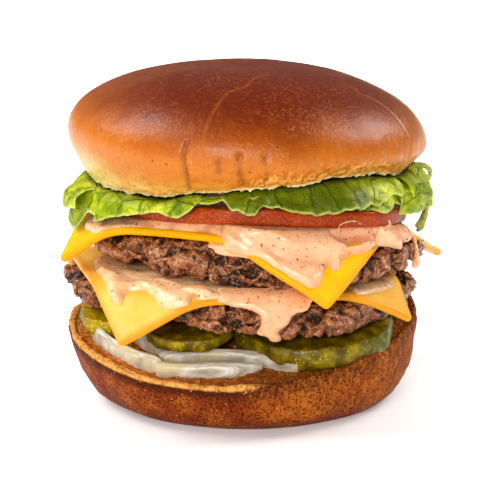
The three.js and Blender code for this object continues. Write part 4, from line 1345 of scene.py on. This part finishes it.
FILM += SPILL + [(TOMATO_RING, [0.3, 0.36, 0.42, 0.4, 0.36, 0.32, 0.3])]
for i, (line, thick) in enumerate(FILM):
    upper_parts.append(run_along(f"film_{i}", line, thick, 0.6 if (line, thick) in SPILL else 0.8))
sauce_high = wet("sauce_high", upper_parts, "sauce_upper", SAUCE)

# %% [markdown]
# ## The tomato
# One slice across a large tomato, almost as wide as the bun. What shows is its skin, a thin satin band;
# on the cut faces there are walls of pink flesh round wet chambers of seeds. The slice droops to both
# sides, as its solid does, and its rim is the outside of the fruit, so it bulges a little.

# %% The slice of tomato
TOMATO_THICKNESS = 4.7


def tomato_ring(inset, up):
    x = TOMATO_X + tomato_wobble(TURN) * (TOMATO_LONG - inset) * np.cos(TURN)
    y = TOMATO_Y + tomato_wobble(TURN) * (TOMATO_DEEP - inset) * np.sin(TURN)
    return np.stack([x, y, tomato_base(x, y) + up * TOMATO_THICKNESS], axis=-1)


def tomato_middle(up):
    return np.array([[TOMATO_X, TOMATO_Y, tomato_base(TOMATO_X, TOMATO_Y) + up * TOMATO_THICKNESS]])


tomato_rings = [tomato_middle(0)] + [tomato_ring(inset, 0) for inset in np.linspace(33, 1.2, 34)]
for turn in np.linspace(0, np.pi, 15):
    tomato_rings.append(tomato_ring(0.9 * (1 - np.sin(turn)) ** 1.5, 0.5 - 0.5 * np.cos(turn)))
tomato_rings += [tomato_ring(inset, 1) for inset in np.linspace(1.2, 33, 34)] + [tomato_middle(1)]
tomato = skin("tomato", tomato_rings)
tomato_points = points_of(tomato)
right, back = tomato_points[:, 0] - TOMATO_X, tomato_points[:, 1] - TOMATO_Y
tomato_share = np.hypot(right / TOMATO_LONG, back / TOMATO_DEEP)
tomato_angle = np.arctan2(back, right)
chamber = step_up(0.25, 0.5, np.sin(3.5 * tomato_angle + 0.5 * np.sin(2 * tomato_angle)) ** 2)
chamber *= step_up(0.88, 0.78, tomato_share) * step_up(0.3, 0.42, tomato_share)
push_out(tomato, -0.5 * chamber + 0.12 * layered(tomato_points, 8, 71))
store(tomato, "chamber", chamber)
store(tomato, "skin", step_up(0.93, 0.975, tomato_share))


def tomato_finish():
    fruit = Finish(
        "tomato_flesh", roughness=0.34, specular=0.2, coat=(0.12, 0.18), beneath=(0.25, 0.003, (1, 0.25, 0.1))
    )
    flecks = fruit.mix(fruit.band(fruit.noise(0.55, 2), 0.42, 0.7), "9a3605", "c26323")
    rind = fruit.mix(fruit.band(fruit.noise(9, 3), 0.35, 0.7, 0, 0.6), flecks, "862802")
    flesh = fruit.ramp(fruit.noise(3, 4), (0.3, "c24a2c"), (0.7, "dd7a56"))
    gel = fruit.mix(fruit.band(fruit.cells(2.6), 0.3, 0.2), "b5471c", "e4b877")
    cut = fruit.mix(fruit.stored("chamber"), flesh, gel)
    whole = fruit.mix(fruit.stored("skin"), cut, rind)
    return fruit.wear(whole, normal=fruit.bump(fruit.noise(1.2, 3), 0.12, 0.5))


dress(tomato, tomato_finish(), "tomato_slice")

# %% [markdown]
# ## The lettuce
# Loose leaf lettuce is thin, blistered between its veins and frilled at its edge, because the edge grows
# faster than the middle. Each leaf starts under the crown, passes the rim of what lies below and folds
# down over it. The rule of the solid gives that drape; here the edge also wanders, the frill gets shorter
# waves on its long ones, and the skin between the veins is raised.

# %% The drape of a leaf
LEAF_THICKNESS = 0.8
DRAPE_BEND = 5
FRILL = 1.1
RUFFLE = 0.55
PATCH_RUFFLE = 0.35
PATCH_POINTS = 44
drape_edge = around(
    (0, 50), (60, 46), (120, 46), (180, 49.8), (240, 50), (256, 48.5), (275, 46), (318, 46.5), (336, 49.5),
)
drape_angle = around(
    (0, 70), (60, 52), (120, 52), (180, 62), (200, 72), (225, 70), (245, 72), (272, 48), (318, 48), (338, 68),
)


def leaf_grid(start, end, inner, depth, hang, seed):
    """The middle surface of a leaf, and for each place how far it is along, out and from the edge."""
    columns = int((end - start) / 0.55)
    u, v = np.meshgrid(np.linspace(0, 1, columns), np.linspace(0, 1, 46) ** 0.8, indexing="ij")
    angle = np.radians(start + (end - start) * u)
    along = angle * 50
    edge = drape_edge(angle)
    line = np.stack([along, 0 * along, 0 * along], axis=-1)
    reach = hang(angle) + 0.9 * grain(line, 4.2, seed) + 0.3 * grain(line, 1.3, seed + 1)
    past = inner - edge + (reach - inner + edge) * v
    out, down, turn = fold(past, DRAPE_BEND, np.radians(drape_angle(angle)))
    place = np.stack([along, past, 0 * along], axis=-1)
    free = step_up(1, 9, past)
    near_edge = step_up(4.5, 0, reach - past) * step_up(0.5, 4, past)
    lift = FRILL * free * waver(angle, 1.3, (13, 21, 34)) - depth
    lift += RUFFLE * near_edge * np.sin(along / 1.5 + 2.6 * grain(line, 9, seed + 2))
    lift += (0.12 * grain(place, 3.4, seed + 3) + 0.5 * grain(place, 9, seed + 4)) * step_up(-3, 2, past)
    radius = edge + out + lift * np.sin(turn)
    height = crown_cut(edge + out, angle) - down + lift * np.cos(turn)
    middle = np.stack([radius * np.cos(angle), radius * np.sin(angle), height], axis=-1)
    return middle, along, past, reach - past


def leaf(name, middle, along, outward, from_edge):
    """A thin closed leaf round a grid of points, thinner at its edge."""
    across = np.cross(np.gradient(middle, axis=0), np.gradient(middle, axis=1))
    normal = across / np.maximum(np.linalg.norm(across, axis=-1), 1e-9)[..., None]
    half = LEAF_THICKNESS / 2 * (0.35 + 0.65 * step_up(0, 2.5, from_edge))[..., None]
    flip = -1 if normal[..., 2].mean() < 0 else 1
    top, bottom = (middle + side * flip * normal * half for side in (1, -1))
    made = sheet(name, top[:, ::flip], bottom[:, ::flip])
    for label, field in (("along", along), ("outward", outward), ("from_edge", from_edge)):
        store(made, label, np.tile(field[:, ::flip].ravel(), 2))
    return made


# %% [markdown]
# Veins branch like a net, wide near the stalk and fine near the edge. Two nets of cells in the leaf's own
# measure, along and outwards, give them. The veins lie a little deeper and are darker than the blisters
# between them, which are yellow-green in the light. The part under the crown is painted a deep green, a
# painted shade, and the leaf at the front, under the crown's edge, is darkened too, another painted shade.
# The edge is painted paler, partly the leaf's own pale edge and partly a painted rim of light.

# %% Lettuce finish
def lettuce_finish():
    green = Finish(
        "lettuce_leaf", roughness=0.42, specular=0.2, coat=(0.1, 0.2), beneath=(0.2, 0.0015, (0.6, 1, 0.1))
    )
    along, outward = green.stored("along"), green.stored("outward")
    wander = green.noise(5, 2)
    moved = green.sums("ADD", along, green.times(wander, 4.0))
    place = green.add("ShaderNodeCombineXYZ", {0: moved, 1: green.times(outward, 0.6)}).outputs[0]
    large = green.band(green.cells(9.5, "DISTANCE_TO_EDGE", place=place), 0.04, 0.0)
    small = green.band(green.cells(3.6, "DISTANCE_TO_EDGE", place=place), 0.05, 0.0)
    veins = green.sums("MAXIMUM", large, green.times(small, 0.3))
    tone = green.ramp(green.noise(6, 3), (0.32, "6c8004"), (0.5, "9cab0e"), (0.66, "ccd236"))
    # The leaf at the front, under the crown's edge, is darkened, a painted shade.
    front = green.sums("ABSOLUTE", green.sums("SUBTRACT", along, 249))
    shaded = green.mix(green.times(green.band(front, 32, 10), 0.8), tone, "4a5a02")
    # The part of the leaf under the crown is painted a deep green, a painted shade.
    inner = green.mix(green.band(outward, 4.5, -1.5), shaded, "3e4606")
    veined = green.mix(green.times(veins, 0.5), inner, "5a6c08")
    # The edge is painted paler, partly the leaf's own pale edge and partly a painted rim of light.
    edge = green.band(green.stored("from_edge"), 1.1, 0.1)
    edged = green.mix(green.times(edge, 0.6), veined, "d3da7c")
    height = green.sums("SUBTRACT", green.noise(2.6, 3), green.times(veins, 1.1))
    return green.wear(edged, normal=green.bump(height, 0.6, 0.9))


LETTUCE = lettuce_finish()
LEAVES = {  # from and to azimuth, inner radius, depth under the cut, how far it hangs
    "left": (179, 254, 30, 0.8, around(
        (179, 9), (187, 13), (199, 17), (208, 10.5), (216, 11), (229, 8), (240, 6.5), (248, 8), (251, 6.5),
        (254, 3.4))),
    "front": (261, 330, 30, 0.8, around(
        (261, 4), (265, 7), (269, 9.8), (271.5, 10), (274.5, 6.4), (278, 8), (284, 11), (294, 13),
        (303, 13.5), (312, 11.5), (330, 8))),
    "under": (300, 344, 34, 2.3, around((300, 9), (308, 12), (316, 14), (324, 10), (338, 12), (344, 8))),
    "right": (333, 364, 34, 0.8, around((4, 8), (333, 9), (340, 13), (349, 15), (357, 13))),
    "back": (12, 168, 32, 0.8, around(
        (12, 7), (30, 12), (52, 9), (75, 13), (100, 10), (124, 13), (145, 9), (168, 5))),
}


# %% [markdown]
# A few folds do not follow the rim: the dark lobe that turns up on the left, a small white fold in front,
# and the curl on the right that stands up beside the crown and ends in a torn strip. Each is a surface
# through a small grid of listed points, smoothed by a spline in both directions.

# %% A surface through a few points
def through(places, count):
    """Points on a Catmull-Rom curve through places given along the first axis."""
    padded = np.concatenate([2 * places[:1] - places[1:2], places, 2 * places[-1:] - places[-2:-1]])
    at = np.linspace(0, len(places) - 1 - 1e-9, count)
    i = at.astype(int)
    t = (at - i).reshape((-1,) + (1,) * (places.ndim - 1))
    before, first, second, after = (padded[i + k] for k in range(4))
    return 0.5 * (
        2 * first + (second - before) * t + (2 * before - 5 * first + 4 * second - after) * t**2
        + (3 * first - before - 3 * second + after) * t**3
    )


def leaf_patch(name, control, seed):
    control = np.array(control, dtype=float)
    middle = through(control, PATCH_POINTS)
    middle = through(middle.swapaxes(0, 1), PATCH_POINTS).swapaxes(0, 1)
    u, v = np.meshgrid(np.linspace(0, 1, PATCH_POINTS), np.linspace(0, 1, PATCH_POINTS), indexing="ij")
    steps = [np.linalg.norm(np.diff(middle, axis=axis), axis=-1).sum(axis=axis).mean() for axis in (0, 1)]
    azimuth = np.arctan2(control[..., 1].mean(), control[..., 0].mean()) % (2 * np.pi)
    # Each patch's along measure starts at its own azimuth, so the painted shade of the front falls on it as
    # on the leaf.
    along, outward = u * steps[0] + 50 * azimuth, v * steps[1] + 3
    middle = middle + PATCH_RUFFLE * np.stack([grain(middle, 3, seed + axis) for axis in range(3)], axis=-1)
    from_edge = np.minimum(np.minimum(u, 1 - u) * steps[0], np.minimum(v, 1 - v) * steps[1])
    return leaf(name, middle, along, outward, from_edge)


PATCHES = {
    "left": [[
        [(-47, -12, 69), (-48.6, -16, 69.2), (-48, -20, 69), (-46.4, -24, 68.6)],
        [(-51.4, -12, 69), (-53, -16, 69), (-52, -20, 68.6), (-49.6, -25, 68)],
        [(-54.8, -12, 67.4), (-56.2, -16, 66.6), (-54.8, -21, 66), (-52, -26, 66)],
        [(-56, -12, 63.4), (-57, -16.4, 62.4), (-55.4, -21, 62.4), (-52.6, -26, 63)],
    ]],
    "front": [[
        [(-14.5, -46, 70.6), (-12.4, -47, 70.6), (-10, -47.4, 70.8), (-8, -47.4, 71.2)],
        [(-14.8, -48.6, 70.2), (-12.6, -50, 70.3), (-10, -50.2, 70.5), (-7.6, -49.6, 71)],
        [(-14.6, -49.6, 69.2), (-12.4, -51, 69.4), (-9.8, -51.2, 69.6), (-7.8, -50.4, 70.4)],
    ], [
        [(-2.6, -47, 72), (-0.6, -49.6, 71.4), (1.6, -50.4, 71.2), (3.6, -48, 72.2)],
        [(-2.4, -48.4, 70), (-0.8, -51.4, 69), (1.4, -52.4, 69), (3.8, -49.6, 70.4)],
        [(-1.6, -50, 67.8), (-0.4, -52.6, 66.6), (1, -53.4, 66.6), (2.6, -51.4, 68)],
    ]],
    "right": [[
        [(43, -24, 70.6), (47, -20, 70.2), (50.6, -15, 69.6), (53.4, -10, 68.8)],
        [(44.6, -27, 68.4), (48.6, -23, 68), (52.8, -16.6, 67.6), (55.6, -11, 67)],
        [(44.8, -28.6, 65.2), (49, -24.4, 64.8), (53.2, -17.6, 64.4), (55.8, -12, 64.4)],
        [(44, -29, 61.8), (48.4, -25, 61.2), (52, -18.6, 60.8), (53.8, -13, 61)],
    ], [
        [(45.4, -10, 71.6), (46.6, -14, 70.4), (47.6, -18, 69.4), (48.6, -21, 68.8)],
        [(48, -8.6, 73.4), (49, -12, 72.4), (49.6, -15.6, 71), (50.6, -18, 69.6)],
        [(50, -8, 74.2), (51, -10, 73), (51.4, -12.6, 70.8), (52.4, -15, 69)],
    ]],
}
CURL = (
    [(49, -12, 69.6), (51.6, -11, 69.2), (54.2, -10.4, 69.4), (55.4, -10, 70.8), (55, -10, 72.6),
     (53, -10, 73.7), (50.6, -10, 73.5), (48.9, -11, 72)], [1.1, 0.9, 0.9, 0.85, 0.8, 0.85, 1, 1],
)
TORN_STRIP = (
    [(54.4, -13, 63), (54.2, -11.4, 59.6), (53.4, -10.6, 56.6), (52.4, -10.4, 54.2), (52.6, -10.2, 53.2)],
    [1.8, 1.3, 1.2, 1.5, 1],
)
for name, (start, end, inner, depth, hang) in LEAVES.items():
    parts = [leaf(f"leaf_{name}", *leaf_grid(start, end, inner, depth, hang, 100 + start))]
    for i, control in enumerate(PATCHES.get(name, [])):
        parts.append(leaf_patch(f"patch_{name}_{i}", control, 200 + start + i))
    if name == "right":
        parts += [run_along("curl", *CURL, 1, 0.6), run_along("torn_strip", *TORN_STRIP, 1, 0.6)]
    dress(joined(f"lettuce_leaf_{name}", parts), LETTUCE, f"lettuce_{name}")

# %% [markdown]
# ## Pickles
# Three thick slices of gherkin lie on the heel. The flesh is olive and half clear, with pale seeds, and
# the skin is a grey green with shallow bumps. They are wet. The seeds are painted bright as glints, most on
# the left slice, whose flesh is painted lighter too, a painted light; the right slice is painted darker, a
# painted shade. Each slice is made of rings like its solid, with a rounder side, and is laid on the slope
# of the heel.

# %% The heel's cut face, and a slice that lies on it
GAP = 0.3


def heel_floor(x, y):
    return heel_rim(x, y) - DISH


def make_pickle(side, x, y, lift, long, deep, thickness, phase, seed, skinned):
    """A slice laid at (x, y). Skin shows round an azimuth in degrees, so many radians to each side."""
    half = thickness / 2
    scallop = 1 + 0.022 * waver(TURN, phase, (5, 8, 11)) + 0.006 * waver(TURN, seed, (23, 31, 40))

    def ring(inset, height):
        return np.stack([scallop * (long - inset) * np.cos(TURN), scallop * (deep - inset) * np.sin(TURN),
                         height + 0 * TURN], axis=-1)

    insets = np.linspace(min(long, deep) - 0.6, 1.4, 26)
    rings = [np.array([[0, 0, -half]])] + [ring(inset, -half) for inset in insets]
    for turn in np.linspace(0, np.pi, 17):
        rings.append(ring(1.3 * (1 - np.sin(turn) ** 0.8), -half * np.cos(turn)))
    rings += [ring(inset, half) for inset in insets[::-1]] + [np.array([[0, 0, half]])]
    made = skin(f"gherkin_{side}", rings)
    flat = points_of(made)
    share = np.hypot(flat[:, 0] / long, flat[:, 1] / deep)
    azimuth = np.arctan2(flat[:, 1] / deep, flat[:, 0] / long)
    bumps = 0.26 * layered(flat, 3.6, seed, 2) + 0.08 * grain(flat, 1.2, seed + 1)
    push_out(made, (bumps - 0.2) * step_up(0.7, 0.97, share) + 0.15 * grain(flat, 2, seed + 2))
    flat = points_of(made)
    slope = [(heel_floor(x + dx, y + dy) - heel_floor(x - dx, y - dy)) / 2 for dx, dy in ((1, 0), (0, 1))]
    up = np.array([-slope[0], -slope[1], 1])
    up /= np.linalg.norm(up)
    turned = np.array(Vector((0, 0, 1)).rotation_difference(Vector(up)).to_matrix())
    place_points(made, flat @ turned.T + (x, y, heel_floor(x, y) + GAP + lift + half))
    facing, wide = skinned
    off = np.abs((azimuth - np.radians(facing) + np.pi) % (2 * np.pi) - np.pi)
    store(made, "rind", step_up(0.9, 0.97, share) * step_up(wide, wide - 0.5, off))
    # The left slice is marked for painted light: lighter flesh and brighter seed glints.
    store(made, "seedy", np.full(len(share), float(side == "left")))
    # The right slice is marked for painted shade.
    store(made, "dull", np.full(len(share), float(side == "right")))
    dress(made, PICKLE, f"pickle_{side}")


# %% Pickle finish
def pickle_finish():
    flesh = Finish(
        "pickle_flesh", roughness=0.3, specular=0.28, coat=(0.12, 0.1), beneath=(0.35, 0.003, (1, 0.8, 0.1))
    )
    base = flesh.ramp(flesh.noise(4, 4), (0.32, "564400"), (0.5, "806a02"), (0.66, "b49e0c"))
    seeds = flesh.band(flesh.cells(1.5), 0.33, 0.12)
    patchy = flesh.band(flesh.noise(5, 2), 0.42, 0.62)
    # The pale seeds are painted bright as glints, on patches and all over the left slice.
    bright = flesh.times(seeds, flesh.sums("MAXIMUM", patchy, flesh.stored("seedy")))
    # The left slice's flesh is painted lighter, a painted light.
    base = flesh.mix(flesh.times(flesh.stored("seedy"), 0.5), base, "c8aa10")
    seeded = flesh.mix(flesh.times(bright, 0.9), base, "f0da2c")
    streaks = flesh.ramp(flesh.noise(1.6, 4), (0.35, "54500e"), (0.55, "706c26"), (0.7, "938e48"))
    # The right slice's flesh is darkened, a painted shade.
    shaded = flesh.mix(flesh.times(flesh.stored("dull"), 0.35), seeded, "403600")
    whole = flesh.mix(flesh.stored("rind"), shaded, streaks)
    height = flesh.sums("ADD", flesh.noise(1.4, 4), flesh.times(seeds, 0.5))
    return flesh.wear(whole, normal=flesh.bump(height, 0.35, 0.8))


PICKLE = pickle_finish()
make_pickle("left", -38.9, -8.2, 0.9, 14.9, 15.8, 5.6, 1, 301, (180, 0.8))
make_pickle("middle", -18, -25, 3.8, 14.5, 15.6, 4.2, 4, 311, (60, 0.8))
make_pickle("right", 19.2, -23.8, -0.6, 24.6, 22.4, 7.4, 2, 321, (345, 0.8))

# %% [markdown]
# ## Onion
# Four strips of raw onion lie in the sauce's shade on the heel. A strip is a slice of one layer of the
# bulb, so it is a long arc, cupped across, with fine lines along it, and it is half clear. Geometry Nodes
# sweep an oval along each arc, and the cup and the lines are added in the strip's own measure.

# %% Strips of onion
def make_onion(place, x, y, radius, start, end, width, thickness, seed, lift=0.0, tapered=False):
    azimuths = np.radians(np.linspace(start, end, 25))
    px, py = x + radius * np.cos(azimuths), y + radius * np.sin(azimuths)
    places = np.stack([px, py, heel_floor(px, py) + GAP + lift + thickness / 2], axis=-1)
    blunt = 1 + 0.04 * np.sin(np.linspace(0, 9, len(azimuths)) + seed)
    blunt[[0, -1]] = 0.72
    blunt[[1, -2]] *= 0.95
    if tapered:
        blunt[-8:] *= np.linspace(1, 0.3, 8)
    made = run_along(f"onion_{place}", places, blunt, width / 2, thickness / 2, 0.45, 36, ONION)
    points = points_of(made)
    across = np.hypot(points[:, 0] - x, points[:, 1] - y) - radius
    along = np.arctan2(points[:, 1] - y, points[:, 0] - x) * radius
    lines = np.stack([across * 3.4, along * 0.12, 0 * along], axis=-1)
    share = np.abs(across) / (width / 2)
    middle = heel_floor(points[:, 0], points[:, 1]) + GAP + lift + thickness / 2
    cupped = np.where(points[:, 2] > middle, 0.3 * share**2 - 0.16, 0.22 * share**2 - 0.08)
    above = points[:, 2] - middle
    points[:, 2] += thickness * cupped * above / (thickness / 2) * np.sign(above)
    place_points(made, points)
    push_out(made, 0.15 * grain(lines, 1.3, seed) + 0.1 * grain(points, 7, seed + 1))
    store(made, "across", across)
    store(made, "along", along)
    dress(made, ONION, f"onion_strip_{place}")


def onion_finish():
    strip = Finish(
        "raw_onion", roughness=0.36, specular=0.35, coat=(0.08, 0.12), beneath=(0.6, 0.004, (1, 0.9, 0.6))
    )
    across, along = strip.times(strip.stored("across"), 3.2), strip.times(strip.stored("along"), 0.16)
    place = strip.add("ShaderNodeCombineXYZ", {0: across, 1: along}).outputs[0]
    lines = strip.noise(1.1, 3, place=place)
    tone = strip.ramp(lines, (0.3, "9c927c"), (0.5, "c8c0ac"), (0.68, "f2ede2"))
    warm = strip.mix(strip.band(strip.noise(8, 2), 0.5, 0.7), tone, "cdbf98")
    return strip.wear(warm, normal=strip.bump(lines, 0.25, 0.8))


ONION = onion_finish()
make_onion("left", HEEL_X, 0, 48.4, 184, 241, 8.8, 2.2, 401, 0.4)
make_onion("front", -10, 30, 75, 256.5, 280.5, 7, 3.2, 411, tapered=True)
make_onion("long", -17, -101, 65, 99, 61, 6.4, 3.2, 421)
make_onion("inner", 0, 0, 41, 208, 240, 8, 2.2, 431)

# %% [markdown]
# ## Crumbs and spice
# Toasted bread sheds crumbs along its cut edges, and the sauce carries flecks of paprika and pepper. Both
# are one small uneven grain, repeated hundreds of times, so Geometry Nodes scatter them. A number stored
# on the surface says how likely a grain is at each place.

# %% Grains scattered where a surface asks for them
FACES_EACH = 20
CRUMBS = grains_tree("crumbs", 1, (0.5, 0.5, 0.4), (1, 1.3, 0.9), seeds=(5, 6), curve=1, sunk=0)


def scatter(name, surface, likely, each_m2, smallest, largest, seed, finish):
    base = finish_object(name + "_base", surface.data.copy())
    made = run_grains(name, CRUMBS, base, likely, each_m2, smallest, largest, seed, finish)
    discard(base)
    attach(made, "root")
    print(name, "grains:", len(made.data.polygons) // FACES_EACH)


def grain_finish(name, dark, light, rough):
    dust = Finish(name, roughness=rough, specular=0.2)
    return dust.wear(dust.mix(dust.band(dust.noise(0.9, 3), 0.35, 0.65), dark, light),
                     normal=dust.bump(dust.noise(0.3, 2), 0.08))


BREAD_CRUMB = grain_finish("bread_crumb", "d8b878", "fbf0cc", 0.85)
TOAST_CRUMB = grain_finish("toast_crumb", "a8602a", "ecbc78", 0.8)
SPICE = grain_finish("paprika_and_pepper", "5c200c", "c4541a", 0.5)
torn_edge = (1 - step_up(0.4, 1.5, np.abs(above_cut))) * step_up(45, 48, crown_radius)
torn_edge *= step_up(-0.15, 0.25, layered(crown_points, 9, 61))
scatter("crumbs_crown", crown, torn_edge, 3e5, 0.2, 0.6, 41, BREAD_CRUMB)
scatter("crumbs_rim", heel, near_rim**2, 1.6e5, 0.2, 0.5, 43, TOAST_CRUMB)
scatter("crumbs_face", heel, on_face, 3e4, 0.2, 0.55, 44, TOAST_CRUMB)
for i, puddle_piece in enumerate((sauce_low, sauce_high, sauce_drip)):
    facing_up = np.clip(normals_of(puddle_piece)[:, 2] + 0.6, 0, 1)
    scatter(f"spice_{i}", puddle_piece, facing_up, 5e4, 0.16, 0.34, 51 + i, SPICE)
